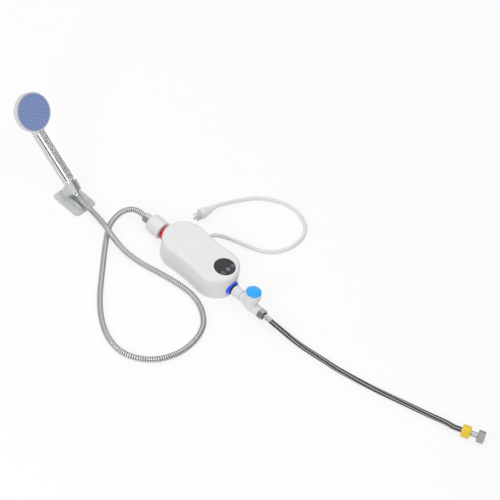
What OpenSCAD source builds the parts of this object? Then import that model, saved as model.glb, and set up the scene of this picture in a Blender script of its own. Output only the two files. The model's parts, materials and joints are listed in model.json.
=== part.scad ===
// Tankless electric water heater kit: heater, hand shower on a ribbed hose, adhesive holder,
// flow valve with a braided supply hose, and a power cord with a three-pin plug.
// Origin under the middle of the heater, +X towards the cold inlet, +Z up, millimetres.

/* [Heater housing] */
// Length of the housing over its round ends
body_l = 210; // [190:1:260]
// Width of the housing at its round ends
body_w = 106; // [98:1:130]
// How far each long side is drawn in at the middle
waist_in = 3.2; // [1:0.1:8]
// Height of the housing
body_h = 64; // [60:1:90]
// Shell wall
wall = 2.5; // [1.5:0.1:3.5]
// Radius of the top edge
top_r = 8; // [4:0.5:12]
// Radius of the bottom edge
base_r = 5; // [3:0.5:7]
// Height of the parting line between the shells
split_z = 10; // [9:0.5:12]
// Length of the case screws under the head
case_screw_l = 18; // [12:1:24]

/* [Display] */
// Diameter of the display lens
lens_d = 51; // [40:1:60]
// Thickness of the display lens
lens_t = 1.6; // [1:0.1:2]
// Lens centre, from the cold end of the housing
lens_from_end = 36; // [34:1:60]
// Lens centre, away from the middle line
lens_y = 6; // [0:0.5:8]

/* [Water ports] */
// Height of both water ports
port_z = 26; // [25:0.5:32]
// Outside diameter of a half-inch pipe thread
thread_d = 20.9; // [19:0.1:22]
// Bore of the brass stubs
stub_bore = 13; // [8:0.5:14]
// Diameter of the coloured collars
collar_d = 36; // [30:1:38]
// Length of the red outlet collar
outlet_collar_l = 11; // [3:0.5:12]
// Length of the blue inlet collar
inlet_collar_l = 3.8; // [2:0.2:8]
// Diameter of the black gaskets
gasket_d = 26; // [24:0.5:34]
// Length of the outlet gasket
outlet_gasket_l = 1.6; // [1:0.2:6]
// Length of the inlet gasket
inlet_gasket_l = 3.2; // [2:0.2:8]

/* [Heating tank] */
// Space between the tank and the floor of the housing
tank_lift = 2.5; // [1.5:0.1:4]
// Tank wall
tank_wall = 2.5; // [1.5:0.1:4]
// Length of the tank tube
tank_l = 84; // [70:1:90]
// Thickness of the tank caps
cap_t = 8; // [6:0.5:9]
// Diameter of the heating rod
rod_d = 5.5; // [4:0.5:6]
// Middle of the tank along the housing
tank_x = -14; // [-18:1:-10]

/* [Outlet coupling] */
// Diameter over the corners of the hand nut
union_d = 47.4; // [40:0.2:49]
// Length of the hand nut
union_l = 41.4; // [30:0.2:50]

/* [Hose nuts] */
// Width across flats of the hose nuts
nut_af = 24; // [23:0.5:28]
// Length of the shower hose nut
nut_l = 17; // [15:0.5:22]
// Length of the supply hose nut
supply_nut_l = 13; // [11:0.5:20]

/* [Shower hose] */
// Outside diameter of the shower hose
hose_d = 14; // [13:0.5:15]
// Bore of the shower hose
hose_bore = 8; // [6:0.5:10]
// Number of ribs on the shower hose
rib_count = 196; // [100:1:200]
// Depth of the ribs
rib_depth = 0.8; // [0.3:0.1:1.2]

/* [Hand shower] */
// Tilt of the handle above the floor
hand_tilt = 34; // [30:1:40]
// Length of the cone nut
cone_l = 34; // [30:1:40]
// Diameter of the cone nut at its wide end
cone_d = 26; // [25:0.5:28]
// Diameter of the cone nut at the hose
cone_end_d = 17.5; // [17:0.5:20]
// Width of the handle
handle_w = 25; // [22:0.5:30]
// Depth of the handle from front to back
handle_t = 34.5; // [28:0.5:36]
// Length of the straight handle
handle_l = 130; // [100:1:140]
// Wrap of the chrome cover to each side of the handle's front
cover_wrap = 65; // [40:1:75]
// Length of the chrome cover
cover_l = 133; // [100:1:140]
// Diameter of the spray plate
face_d = 86; // [76:1:96]
// Width of the rim round the spray plate
rim_w = 3; // [1:0.2:5]
// Thickness of the spray plate
plate_t = 4; // [3:0.1:5]
// Height of the spray plate above the rim
plate_rise = 2.2; // [0:0.1:3]
// Depth of the head behind its face
head_t = 26; // [24:0.5:30]
// Face centre along the handle, from its lower end
face_up = 179.5; // [175:0.5:190]
// Face centre in front of the handle's middle line
face_out = 33.5; // [24:0.5:36]
// Turn of the face from the handle's direction
face_tilt = 105; // [95:1:115]

/* [Holder] */
// Length of the adhesive sheet
sheet_l = 86; // [80:1:100]
// Width of the adhesive sheet
sheet_w = 65; // [50:1:80]
// Corner radius of the adhesive sheet
sheet_r = 10; // [4:0.5:16]
// Thickness of the adhesive sheet
sheet_t = 1.7; // [1:0.1:3]
// Thickness of the adhesive pad
pad_t = 0.8; // [0.5:0.1:1.5]
// Length of the holder block
block_l = 74; // [70:1:80]
// Width of the holder block
block_w = 31; // [28:0.5:40]
// Height of the holder block above the sheet
block_h = 11; // [8:0.5:14]
// Length of the cradle
cradle_l = 26; // [16:0.5:28]
// Wall of the cradle at its upper end
cradle_wall = 4.5; // [3:0.5:6]

/* [Flow valve] */
// Diameter of the coupling nut
valve_nut_d = 26.4; // [25:0.2:30]
// Length of the coupling nut
valve_nut_l = 21.6; // [20:0.2:26]
// Diameter of the valve's round body
bulb_d = 31.4; // [30:0.2:40]
// Coupling nut to the valve's axis
valve_neck = 30.2; // [26:0.2:36]
// Height of the bonnet above the round body
bonnet_h = 7.8; // [1:0.2:10]
// Diameter of the outlet leg
leg_d = 23.6; // [22:0.2:28]
// Valve axis to the end of the leg
leg_l = 28; // [26:0.5:36]
// Drop of the outlet leg below the inlet
leg_drop = 5; // [0:0.5:6]
// Diameter of the knob
knob_d = 39; // [34:0.5:44]
// Height of the knob
knob_h = 17; // [15:0.5:20]
// Diameter of the blue cap
cap_d = 35; // [28:0.5:35]
// Diameter of the plug that opens and shuts the water way
plug_d = 17; // [15:0.5:19]
// Water way through the valve
way_d = 10; // [6:0.5:11]

/* [Supply hose] */
// Outside diameter of the braided hose
supply_d = 12.7; // [12:0.1:13.5]
// Bore of the braided hose
supply_bore = 8; // [6:0.5:9]
// Length of the ferrule at the valve
ferrule_l = 20.1; // [10:0.1:24]
// Diameter over the corners of the yellow grip
grip_d = 29.5; // [28:0.5:33]
// Length of the yellow grip
grip_l = 20; // [14:0.5:22]
// Width across flats of the end nut
end_af = 25; // [23:0.5:28]
// Length of the end nut
end_l = 16; // [15:0.5:20]

/* [Power cord] */
// Diameter of the cord
cord_d = 9.5; // [7:0.5:10]
// Length of the strain relief outside the housing
relief_l = 24; // [16:1:30]
// Largest diameter of the plug
plug_body_d = 25.6; // [24:0.2:25.8]
// Length of the plug body
plug_l = 45; // [40:1:55]
// Length of the plug's blades outside the body
blade_l = 17; // [14:0.5:18]
// Diameter of the earth pin
earth_d = 4.8; // [4:0.1:5]

/* [Hidden] */
$fn = 64;

white = [0.90, 0.90, 0.90];
brass = [0.78, 0.62, 0.34];
steel = [0.66, 0.67, 0.69];
chrome = [0.80, 0.81, 0.83];
black = [0.10, 0.10, 0.11];

// clearances: fixed pieces, turning pieces, and pieces that pass each other
fit = 0.05;
run = 0.05;
free = 0.4;

// housing outline: two end circles joined by two hollow arcs
end_r = body_w / 2;
end_x = body_l / 2 - end_r;
waist_w = body_w - 2 * waist_in;
waist_r = (waist_w * waist_w / 4 + end_x * end_x - end_r * end_r) / (body_w - waist_w);
waist_y = waist_r + waist_w / 2;
ceiling = body_h - wall;
lens_x = body_l / 2 - lens_from_end;
lens_rise = 0.2;
lens_z = body_h + lens_rise - lens_t;
display_top = ceiling - 1.8;
seal_w = 0.9;
post_r = 5;
post_out = end_r - top_r - post_r - 1;
post_turn = 80;
post_x = end_x + post_out * cos(post_turn);
post_y = post_out * sin(post_turn);
case_head_z = 1.2;
case_screw_r = 1.5;
thread_r = thread_d / 2;

// tank and sensor along the housing
tank_r = port_z - wall - tank_lift;
tank_a = tank_x - tank_l / 2;
tank_b = tank_x + tank_l / 2;
cap_a = tank_a - cap_t;
cap_b = tank_b + cap_t;
neck_r = tank_r - tank_wall - 0.2;
neck_l = 6;
ring_r = 0.9;
rod_r = rod_d / 2;
rod_y = 8.5;
rod_z = port_z + 10;
rod_end = cap_b + 6;
element_a = tank_a + neck_l + rod_y + rod_r + 1;
sensor_r = 9.8;
sensor_bore = 7.8;
sensor_l = 29;
sensor_a = cap_b + 1;
sensor_b = sensor_a + sensor_l;
spider_t = 1.5;
spider_a = sensor_a + 4;
spider_b = sensor_a + 20.5;
axle_r = 1;
board_l = 2 * (post_x - post_r - 4);
board_t = 1.6;
board_z = wall + 3.5;
board_h = 40;
board_y = waist_w / 2 - wall - 13.5;
relay_t = 10;
block_half = 14;
gland_x = -(post_x - post_r - block_half - 1.8);
gland_z = 20;
gland_r = 7.4;
gland_face = waist_y - sqrt(waist_r * waist_r - gland_x * gland_x);
gland_end = gland_face + relief_l;
gland_in = gland_face - wall - 4.6;
block_y = 34;
block_z = 12;
port_hole_r = thread_r + 0.5;
stub_flange_r = 14;
stub_flange_t = 4;
stub_flange_d = end_x + sqrt(pow(end_r - wall, 2) - pow(stub_flange_r, 2)) - fit;

// swivel ends shared by the hoses: washer, flange and the thread that they sit in
male_l = 10;
washer_t = 2;
flange_t = 2;
flange_r = thread_r - 0.65;
washer_r = thread_r - 0.6;
nut_corner = nut_af / 2 / cos(30);

// outlet chain, as distances from the middle of the heater
union_a = body_l / 2 + outlet_collar_l + outlet_gasket_l + free;
union_b = union_a + union_l;
union_thread = 13;
outlet_end = union_a + union_thread;
hose_nut_a = union_b + free;
hose_nut_b = hose_nut_a + nut_l;
hose_flange = union_b + male_l + washer_t;
hose_a = hose_nut_b + 0.5;

// inlet chain
valve_nut_a = body_l / 2 + inlet_collar_l + inlet_gasket_l + free;
valve_nut_b = valve_nut_a + valve_nut_l;
inlet_end = valve_nut_a + union_thread;
tail_flange = inlet_end + washer_t;
tail_r = 8;
tail_l = 8;
valve_a = valve_nut_b + free;
valve_x = valve_a + valve_neck;
leg_end = valve_x + leg_l;
leg_z = port_z - leg_drop;
supply_nut_a = leg_end + free;
supply_nut_b = supply_nut_a + supply_nut_l;
supply_male = supply_nut_l - 7;
supply_flange = leg_end + supply_male + washer_t;
supply_neck_r = 6;
red_ring_t = 1.6;
supply_a = supply_nut_b + free + red_ring_t + ferrule_l;
bonnet_r = 14.5;
bonnet_top = port_z + bulb_d / 2 + bonnet_h;
plug_r = plug_d / 2;
plug_bottom = port_z - way_d / 2 - 3;
plug_top = port_z + way_d / 2 + 5;
seal_a = plug_top + 0.3;
seal_t = 3;
stem_r = 4;
knob_a = bonnet_top + 0.5;
knob_b = knob_a + knob_h;
stem_top = knob_b - 8;

// far end of the supply hose, lying on its grip
far_x = 706.5;
far_y = 103;
far_z = grip_d / 2 + 0.5;
far_turn = 24;
far_sleeve_r = supply_d / 2 + 0.5;
grip_a = 0.6;
end_a = grip_a + grip_l + 16.4;
end_wall = 3.5;
end_flange = end_a + end_wall + 0.3;

// hand shower: lower end of the handle and the two directions of its frame
hand_x = -360;
hand_y = -75.5;
hand_z = 48;
hand_dir = [-cos(hand_tilt), 0, sin(hand_tilt)];
hand_front = [sin(hand_tilt), 0, cos(hand_tilt)];
hand_at = [hand_x, hand_y, hand_z];
spigot_l = 9;
spigot_bore = 10;
handle_r = handle_w / 2;
handle_front = 3.5;
handle_back = handle_front - (handle_t - handle_w);
cone_flange_r = 9.2;
cone_tail_end = cone_l + 0.2;
cone_seat = cone_l - spigot_l - washer_t - fit;
cover_a = 4;
cover_in = handle_r - 1.6;
cover_out = handle_r + 0.8;
cover_end_r = cover_out + 0.2;
flutes = 5;
flute_step = 12;
face_r = face_d / 2;
cup_in = face_r + 0.3;
cup_r = cup_in + rim_w;
dome_rise = head_t / 2;
dome_r = (cup_r * cup_r + dome_rise * dome_rise) / (2 * dome_rise);
plate_in = -plate_rise;
mat_t = 2;
mat_z = -plate_in - plate_t - mat_t;
chamber_r = face_r - 7;
chamber_t = 7;
nozzle_rings = 4;
nozzle_step = 9.2;
nozzle_r = 1.5;
nozzle_rise = 0.5;
bore_from = handle_l - 2;
bore_to = [face_out - 20 * sin(face_tilt - 90) - (chamber_t + 4) * cos(face_tilt - 90),
    face_up - 20 * cos(face_tilt - 90) + (chamber_t + 4) * sin(face_tilt - 90)];

// holder, lined up with the hand shower
holder_x = -337;
holder_y = hand_y;
sheet_z = pad_t;
block_bottom = pad_t + sheet_t;
block_top = block_bottom + block_h;
channel_w = hose_d + 6;
channel_z = block_bottom + 3.5;
cradle_a = 4;
cradle_b = cradle_a + cradle_l;
cradle_r = cone_d / 2 + cradle_wall;
cradle_slot = hose_d + 8;
slot_turn = 15;
cradle_top = hand_at - (cradle_a + 2) * hand_dir;
cradle_end = hand_at - (cradle_b - 2) * hand_dir;
cradle_top_low = cradle_top - 0.9 * cradle_r * hand_front;
cradle_end_low = cradle_end - 0.9 * cradle_r * hand_front;
pedestal_w = block_w - 1;
channel_x = cradle_end_low[0] + 6;
holder_screw_x = holder_x + 19;

// plug
plug_at = [-106, 114, plug_body_d / 2 + 0.2];
plug_turn = 262.5;
plug_roll = 210;
plug_dir = [cos(plug_turn), sin(plug_turn), 0];
plug_tail = plug_at - plug_l * plug_dir;
plug_tail_r = cord_d / 2 + 1.2;
blade_w = 6.35;
blade_t = 1.5;
blade_gap = 12.7;
blade_in = 6;
earth_out = 6.6;
earth_root_r = earth_d / 2 - 0.4;
blade_out = -5.3;

// routes of the hoses and the cord between their fixed ends
shower_points = [[-212, -6, 25], [-225, -23, 21], [-228, -43, 15.5], [-225, -62, 10], [-217, -79, 7.8],
    [-201, -101, 7.3], [-172, -136, 7.3], [-133, -180, 7.3], [-88, -230, 7.3], [-42, -271, 7.3],
    [7, -299, 7.3],
    [54, -307, 7.3], [95, -293, 7.3], [128, -260, 7.3], [146, -214, 7.3], [146, -163, 7.3], [129, -118, 7.3],
    [96, -88, 7.3], [54, -73, 7.3], [8, -74, 7.3], [-44, -84, 7.3], [-95, -96, 8], [-140, -101, 12],
    [-180, -98, 18], [-215, -91, 22.4], [-250, -83, 20], [-285, -77, 17]];
power_points = [[-34, 90, 18.5], [-25, 102, 15], [-13, 113, 10], [2, 123, 6], [28, 133, 5], [58, 145, 5],
    [80, 163, 5], [95, 188, 5], [102, 217, 5], [100, 250, 5], [86, 279, 5], [61, 298, 5], [30, 306, 5],
    [-3, 301, 5], [-33, 285, 5], [-59, 261, 5], [-78, 228, 6], [-90, 194, 10]];
supply_points = [[266, 3, 16.5], [288, 6.6, 11], [312, 10.3, 7.3], [340, 14.2, 6.6], [380, 20, 6.6],
    [420, 26.2, 6.6], [500, 45.3, 6.6], [580, 69.9, 6.6], [630, 85.2, 6.8], [668, 95, 10.5]];

function unit(v) = v / norm(v);

// one span of a Catmull-Rom curve between b and c
function span(a, b, c, d, t) =
    0.5 * (2 * b + (c - a) * t + (2 * a - 5 * b + 4 * c - d) * t * t + (3 * b - a - 3 * c + d) * t * t * t);

// fine line through the points that leaves along d0 and arrives along d1
function curve(q, d0, d1, steps) =
    let(n = len(q),
        before = q[1] - 2 * norm(q[1] - q[0]) * d0,
        after = q[n - 2] + 2 * norm(q[n - 1] - q[n - 2]) * d1,
        e = concat([before], q, [after]))
    concat([for (i = [0:n - 2]) for (j = [0:steps - 1]) span(e[i], e[i + 1], e[i + 2], e[i + 3], j / steps)],
        [q[n - 1]]);

// route from one fixed end to the other, straight for a tube diameter at each
function route(start, d0, points, finish, d1, straight) =
    concat([start],
        curve(concat([start + straight * d0], points, [finish - straight * d1]), d0, d1, 12),
        [finish]);

// running length at each point of a line
function lengths(line) =
    let(n = len(line))
    [for (i = 0, s = 0; i < n; i = i + 1, s = s + (i < n ? norm(line[i] - line[i - 1]) : 0)) s];

// a line as three tables of its coordinates against running length
function tables(line) =
    let(s = lengths(line)) [for (k = [0:2]) [for (i = [0:len(line) - 1]) [s[i], line[i][k]]]];
function total(t) = t[0][len(t[0]) - 1][0];
function place(t, s) = [lookup(s, t[0]), lookup(s, t[1]), lookup(s, t[2])];
function heading(t, s) = unit(place(t, s + 0.5) - place(t, s - 0.5));

// ring of points round a line, square to it
function ring(t, s, r, sides) =
    let(p = place(t, s), d = heading(t, s), side = unit(cross(d, [0, 0, 1])), up = cross(side, d))
    [for (k = [0:sides - 1]) p + r * (cos(360 * k / sides) * side + sin(360 * k / sides) * up)];
function rings(t, stations, radii, sides) =
    [for (i = [0:len(stations) - 1]) each ring(t, stations[i], radii[i], sides)];
function skin(n, sides, from, flip) =
    [for (i = [0:n - 2]) for (k = [0:sides - 1])
        let(a = from + i * sides + k, b = from + i * sides + (k + 1) % sides, c = a + sides, d = b + sides)
        each flip ? [[a, b, c], [b, d, c]] : [[a, c, b], [b, c, d]]];
function lid(outer, inner, sides, flip) =
    [for (k = [0:sides - 1])
        let(a = outer + k, b = outer + (k + 1) % sides, c = inner + k, d = inner + (k + 1) % sides)
        each flip ? [[a, c, b], [b, c, d]] : [[a, b, c], [b, d, c]]];

// tube with a bore, whose outside follows the given radii
module hollow_tube(t, stations, radii, bore_r, bore_rings, sides) {
    n = len(stations);
    bore_at = [for (i = [0:bore_rings - 1]) total(t) * i / (bore_rings - 1)];
    bore_radii = [for (s = bore_at) bore_r];
    inner = n * sides;
    last = (n - 1) * sides;
    inner_last = inner + (bore_rings - 1) * sides;
    polyhedron(
        concat(rings(t, stations, radii, sides), rings(t, bore_at, bore_radii, sides)),
        concat(skin(n, sides, 0, false), skin(bore_rings, sides, inner, true),
            lid(0, inner, sides, false), lid(last, inner_last, sides, true)));
}

// solid round cord
module solid_tube(t, r, count, sides) {
    stations = [for (i = [0:count - 1]) total(t) * i / (count - 1)];
    radii = [for (s = stations) r];
    first = [for (k = [0:sides - 1]) k];
    final = [for (k = [0:sides - 1]) count * sides - 1 - k];
    polyhedron(rings(t, stations, radii, sides), concat(skin(count, sides, 0, false), [first], [final]));
}

shower_line = route([-hose_a, 0, port_z], [-1, 0, 0], shower_points,
    hand_at - cone_tail_end * hand_dir, hand_dir, hose_d);
power_line = route([gland_x, gland_end, gland_z], [0, 1, 0], power_points, plug_tail, plug_dir, 4);
far_dir = [cos(far_turn), sin(far_turn), 0];
supply_line = route([supply_a, 0, leg_z], [1, 0, 0], supply_points,
    [far_x, far_y, far_z], far_dir, supply_d);

// least distance between stretches of the shower hose that lie apart along it
shower_table = tables(shower_line);
hose_steps = 160;
hose_marks = [for (i = [0:hose_steps]) place(shower_table, total(shower_table) * i / hose_steps)];
hose_apart = ceil(8 * hose_d / (total(shower_table) / hose_steps));
hose_gap = min([for (i = [0:hose_steps - hose_apart]) for (j = [i + hose_apart:hose_steps])
    norm(hose_marks[i] - hose_marks[j])]) - hose_d;
echo(str("shower hose: length ", total(shower_table), " mm, least gap to itself ", hose_gap, " mm"));
echo(str("power cord: length ", total(tables(power_line)), " mm"));
echo(str("supply hose: length ", total(tables(supply_line)), " mm"));

// half of a revolved wall section with rounded top and bottom outer edges
module edge_section(r, z0, z1, rt, rb) {
    difference() {
        translate([0, z0]) square([r, z1 - z0]);
        if (rt > 0)
            translate([r - rt, z1 - rt]) difference() {
                square(rt + 1);
                circle(rt);
            }
        if (rb > 0)
            translate([r - rb, z0 + rb]) difference() {
                translate([0, -rb - 1]) square(rb + 1);
                circle(rb);
            }
    }
}

// what the hollow side arcs take away, with the same edge radii
module hollow_section(r, z0, z1, rt, rb) {
    translate([0, z0 - 1]) square([r, z1 - z0 + 2]);
    if (rt > 0)
        translate([r, z1 - rt]) difference() {
            square([rt, rt + 1]);
            translate([rt, 0]) circle(rt);
        }
    if (rb > 0)
        translate([r, z0 - 1]) difference() {
            square([rb, rb + 1]);
            translate([rb, rb + 1]) circle(rb);
        }
}

module waist_wedge(z0, z1) {
    translate([0, 0, z0]) linear_extrude(z1 - z0)
        polygon([[-end_x, 0], [0, -waist_y], [end_x, 0], [0, waist_y]]);
}

// waisted housing form, drawn in by inset, between two heights
module pill(inset, z0, z1, rt, rb) {
    for (side = [-1, 1])
        difference() {
            translate([side * end_x, 0, 0]) rotate_extrude() edge_section(end_r - inset, z0, z1, rt, rb);
            waist_wedge(z0 - 1, z1 + 1);
        }
    difference() {
        waist_wedge(z0, z1);
        for (side = [-1, 1])
            translate([0, side * waist_y, 0])
                rotate_extrude() hollow_section(waist_r + inset, z0, z1, rt, rb);
    }
}

// frames: local z points out of the heater, up the handle, out of the face, along the far end or the plug
module at_inlet(d) translate([d, 0, port_z]) rotate([0, 90, 0]) children();

module at_supply(d) translate([d, 0, leg_z]) rotate([0, 90, 0]) children();
module at_outlet(d) translate([-d, 0, port_z]) rotate([0, -90, 0]) children();
module at_hand(d) translate(hand_at + d * hand_dir) rotate([0, hand_tilt - 90, 0]) children();
module at_face(d) at_hand(0) translate([face_out, 0, face_up]) rotate([0, face_tilt, 0])
    translate([0, 0, d]) children();
module at_far(d) translate([far_x, far_y, far_z] + d * far_dir) rotate([0, 0, far_turn])
    rotate([0, 90, 0]) children();
module at_plug(d) translate(plug_at + d * plug_dir) rotate([0, 0, plug_turn]) rotate([0, 90, 0])
    rotate([0, 0, plug_roll]) children();
module at_gland(d) translate([gland_x, d, gland_z]) rotate([-90, 0, 0]) children();
module at_posts() for (sx = [-1, 1], sy = [-1, 1]) translate([sx * post_x, sy * post_y, 0]) children();

module pipe(r, bore_r, h) {
    difference() {
        cylinder(r = r, h = h);
        translate([0, 0, -1]) cylinder(r = bore_r, h = h + 2);
    }
}

// revolved blank with both end edges chamfered
module chamfered(r, h, c) {
    rotate_extrude() polygon([[0, 0], [r - c, 0], [r, c], [r, h - c], [r - c, h], [0, h]]);
}

// hexagon across flats af, its corners chamfered at both ends
module hexagon(af, h) {
    corner = af / 2 / cos(30);
    intersection() {
        cylinder(r = corner, h = h, $fn = 6);
        chamfered(corner, h, corner - af / 2);
    }
}

// swivel nut: threaded from z = 0, with an end wall that bears on a flange
module swivel_nut(af, h, flange_z, hole_r) {
    difference() {
        rotate([0, 0, 30]) hexagon(af, h);
        translate([0, 0, -1]) cylinder(r = thread_r + run, h = flange_z + flange_t + 0.3 + 1);
        cylinder(r = hole_r, h = h + 1);
    }
}

module rounded_plate(l, w, r, h) {
    linear_extrude(h) {
        square([l - 2 * r, w], center = true);
        square([l, w - 2 * r], center = true);
        for (sx = [-1, 1], sy = [-1, 1]) translate([sx * (l / 2 - r), sy * (w / 2 - r)]) circle(r);
    }
}

module upper_shell() {
    color(white) difference() {
        union() {
            difference() {
                pill(0, split_z, body_h, top_r, 0);
                pill(wall, split_z - 1, ceiling, top_r - wall, 0);
            }
            at_posts() translate([0, 0, split_z]) cylinder(r = post_r, h = ceiling + 1 - split_z);
            for (a = [30, 150, 270])
                translate([lens_x + 26.5 * cos(a), lens_y + 26.5 * sin(a), display_top])
                    cylinder(r = 2, h = ceiling + 1 - display_top);
        }
        at_posts() translate([0, 0, split_z - 1]) cylinder(r = case_screw_r + fit, h = case_screw_l);
        for (side = [-1, 1])
            translate([0, 0, port_z]) rotate([0, side * 90, 0]) cylinder(r = port_hole_r, h = body_l);
        at_gland(gland_in) cylinder(r = gland_r + fit, h = 20);
        translate([lens_x, lens_y, lens_z]) cylinder(d = lens_d + 2 * fit, h = lens_t + 1);
        translate([lens_x, lens_y, ceiling - 1]) cylinder(d = lens_d - 6, h = wall + 2);
    }
}

module base_shell() {
    color(white) difference() {
        union() {
            difference() {
                pill(0, 0, split_z, 0, base_r);
                pill(wall, wall, split_z + 1, 0, base_r - wall);
            }
            at_posts() translate([0, 0, wall - 1]) cylinder(r = post_r, h = split_z - wall + 1);
            for (x = [tank_a + 14, tank_b - 14])
                translate([x - 3, -16, wall - 1]) cube([6, 32, port_z - 7 - wall + 1]);
            for (side = [-1, 1])
                translate([side * (board_l / 2 - 3.5) - 3.5, -board_y - 3, wall - 1])
                    cube([7, 6, split_z - wall]);
            translate([gland_x - 9, block_y - 4, wall - 1]) cube([18, 8, block_z - wall + 1]);
        }
        at_inlet(tank_a) cylinder(r = tank_r + fit, h = tank_l);
        translate([-board_l / 2 - 1, -board_y - board_t / 2 - fit, board_z])
            cube([board_l + 2, board_t + 2 * fit, split_z]);
        at_posts() {
            translate([0, 0, -1]) cylinder(r = case_screw_r + 0.2, h = split_z + 2);
            translate([0, 0, -1]) cylinder(r = 3.4, h = case_head_z + 2.6 + 1);
        }
        difference() {
            pill(wall / 2 - seal_w / 2 - fit, split_z - 1, split_z + 1, 0, 0);
            pill(wall / 2 + seal_w / 2 + fit, split_z - 2, split_z + 2, 0, 0);
        }
    }
}

module shell_seal() {
    color(black) difference() {
        pill(wall / 2 - seal_w / 2, split_z - 1, split_z, 0, 0);
        pill(wall / 2 + seal_w / 2, split_z - 2, split_z + 1, 0, 0);
    }
}

module case_screws() {
    color(steel) at_posts() difference() {
        union() {
            translate([0, 0, case_head_z]) cylinder(r = 3.1, h = 2.6);
            translate([0, 0, case_head_z + 2.6]) cylinder(r = case_screw_r, h = case_screw_l);
        }
        translate([0, 0, case_head_z - 1]) cylinder(r = 1.4, h = 2.4, $fn = 6);
    }
}

module display_lens() {
    color([0.25, 0.25, 0.29]) translate([lens_x, lens_y, lens_z])
        chamfered(lens_d / 2, lens_t, 0.3);
}

module display_board() {
    color([0.10, 0.30, 0.20]) translate([lens_x, lens_y, display_top - board_t]) {
        cylinder(r = 28.5, h = board_t);
        translate([-14, -9, 0]) cube([28, 18, board_t + 1.6]);
    }
}

module heating_tank() {
    color(steel) at_inlet(tank_a) pipe(tank_r, tank_r - tank_wall, tank_l);
}

// cap with a neck inside the tank and a groove for its ring
module tank_cap_blank() {
    difference() {
        union() {
            cylinder(r = tank_r, h = cap_t);
            translate([0, 0, cap_t]) cylinder(r = neck_r, h = neck_l);
        }
        translate([0, 0, cap_t + neck_l / 2 - ring_r - fit])
            pipe(neck_r + 1, neck_r - ring_r * 2 + 0.1, 2 * ring_r + 2 * fit);
    }
}

module outlet_cap() {
    color([0.86, 0.86, 0.82]) difference() {
        translate([cap_a, 0, port_z]) rotate([0, 90, 0]) tank_cap_blank();
        at_outlet(-tank_a + 1.5) cylinder(r = thread_r + fit, h = cap_t);
        at_outlet(-tank_a - neck_l - 1) cylinder(d = stub_bore, h = cap_t + neck_l);
        translate([cap_a + cap_t / 2, 0, port_z + thread_r + 1.5 - fit]) cylinder(r = 2 + fit, h = tank_r);
    }
}

module inlet_cap() {
    color([0.86, 0.86, 0.82]) difference() {
        translate([cap_b, 0, port_z]) rotate([0, -90, 0]) tank_cap_blank();
        at_inlet(cap_b - 6 - fit) cylinder(r = 6.5 + fit, h = 8);
        at_inlet(tank_b - neck_l - 1) cylinder(r = 4.5, h = cap_t + neck_l);
        for (side = [-1, 1])
            translate([tank_b - neck_l - 1, side * rod_y, rod_z]) rotate([0, 90, 0])
                cylinder(r = rod_r + fit, h = cap_t + neck_l + 2);
    }
}

module tank_orings() {
    color(black) for (x = [tank_a + neck_l / 2, tank_b - neck_l / 2])
        translate([x, 0, port_z]) rotate([0, 90, 0])
            rotate_extrude() translate([neck_r - ring_r + 0.15, 0]) circle(ring_r);
}

module heating_element() {
    color([0.45, 0.45, 0.47]) translate([element_a, 0, rod_z]) {
        for (side = [-1, 1])
            translate([0, side * rod_y, 0]) rotate([0, 90, 0]) cylinder(r = rod_r, h = rod_end - element_a);
        rotate([0, 0, 90]) rotate_extrude(angle = 180) translate([rod_y, 0]) circle(rod_r);
    }
    color(steel) for (side = [-1, 1])
        translate([rod_end - 1, side * rod_y, rod_z]) {
            rotate([0, 90, 0]) cylinder(r = 2, h = 7);
            translate([6, -0.4, -1.5]) cube([9, 0.8, 6]);
        }
}

module thermal_cutout() {
    color(black) difference() {
        union() {
            translate([tank_x, 0, port_z]) cylinder(r = 8, h = tank_r + 6);
            for (side = [-1, 1])
                translate([tank_x + side * 8 - 3, -2.5, port_z + tank_r + 4]) cube([6, 5, 0.8]);
        }
        at_inlet(tank_a) cylinder(r = tank_r + fit, h = tank_l);
    }
}

module temperature_probe() {
    color([0.7, 0.5, 0.3]) translate([cap_a + cap_t / 2, 0, port_z]) {
        translate([0, 0, thread_r + 1.5]) cylinder(r = 2, h = tank_r - thread_r + 2);
        translate([0, 0, tank_r + 0.3]) cylinder(r = 3, h = 4);
    }
}

module flow_sensor() {
    color([0.20, 0.20, 0.22]) {
        difference() {
            union() {
                at_inlet(cap_b - 6) cylinder(r = 6.5, h = 8);
                at_inlet(sensor_a) cylinder(r = sensor_r, h = sensor_l);
            }
            at_inlet(cap_b - 7) cylinder(r = 4.5, h = 12);
            at_inlet(sensor_a + 3) cylinder(r = sensor_bore, h = sensor_l);
        }
        for (x = [spider_a, spider_b])
            at_inlet(x) difference() {
                union() {
                    cylinder(r = 2.6, h = spider_t);
                    for (a = [0, 90])
                        rotate([0, 0, a]) translate([-sensor_bore - 0.5, -1, 0])
                            cube([2 * sensor_bore + 1, 2, spider_t]);
                }
                translate([0, 0, -1]) cylinder(r = axle_r + run, h = spider_t + 2);
            }
    }
}

module flow_rotor() {
    rotor_a = spider_a + spider_t + 1;
    rotor_l = spider_b - rotor_a - 1;
    color([0.85, 0.85, 0.80]) {
        at_inlet(spider_a - 0.5) cylinder(r = axle_r, h = spider_b - spider_a + spider_t + 1);
        at_inlet(rotor_a) {
            cylinder(r = 2.4, h = rotor_l);
            for (a = [0:60:300])
                rotate([0, 0, a]) translate([0, -0.5, 1])
                    cube([sensor_bore - 0.6, 1, rotor_l - 2]);
        }
    }
}

module control_board() {
    color([0.10, 0.35, 0.20]) translate([-board_l / 2, -board_y - board_t / 2, board_z])
        cube([board_l, board_t, board_h]);
}

module power_relays() {
    color([0.12, 0.25, 0.55]) for (x = [-34, 4])
        translate([x, -board_y - board_t / 2 - relay_t, board_z + 14]) cube([28, relay_t, 16]);
}

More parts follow.
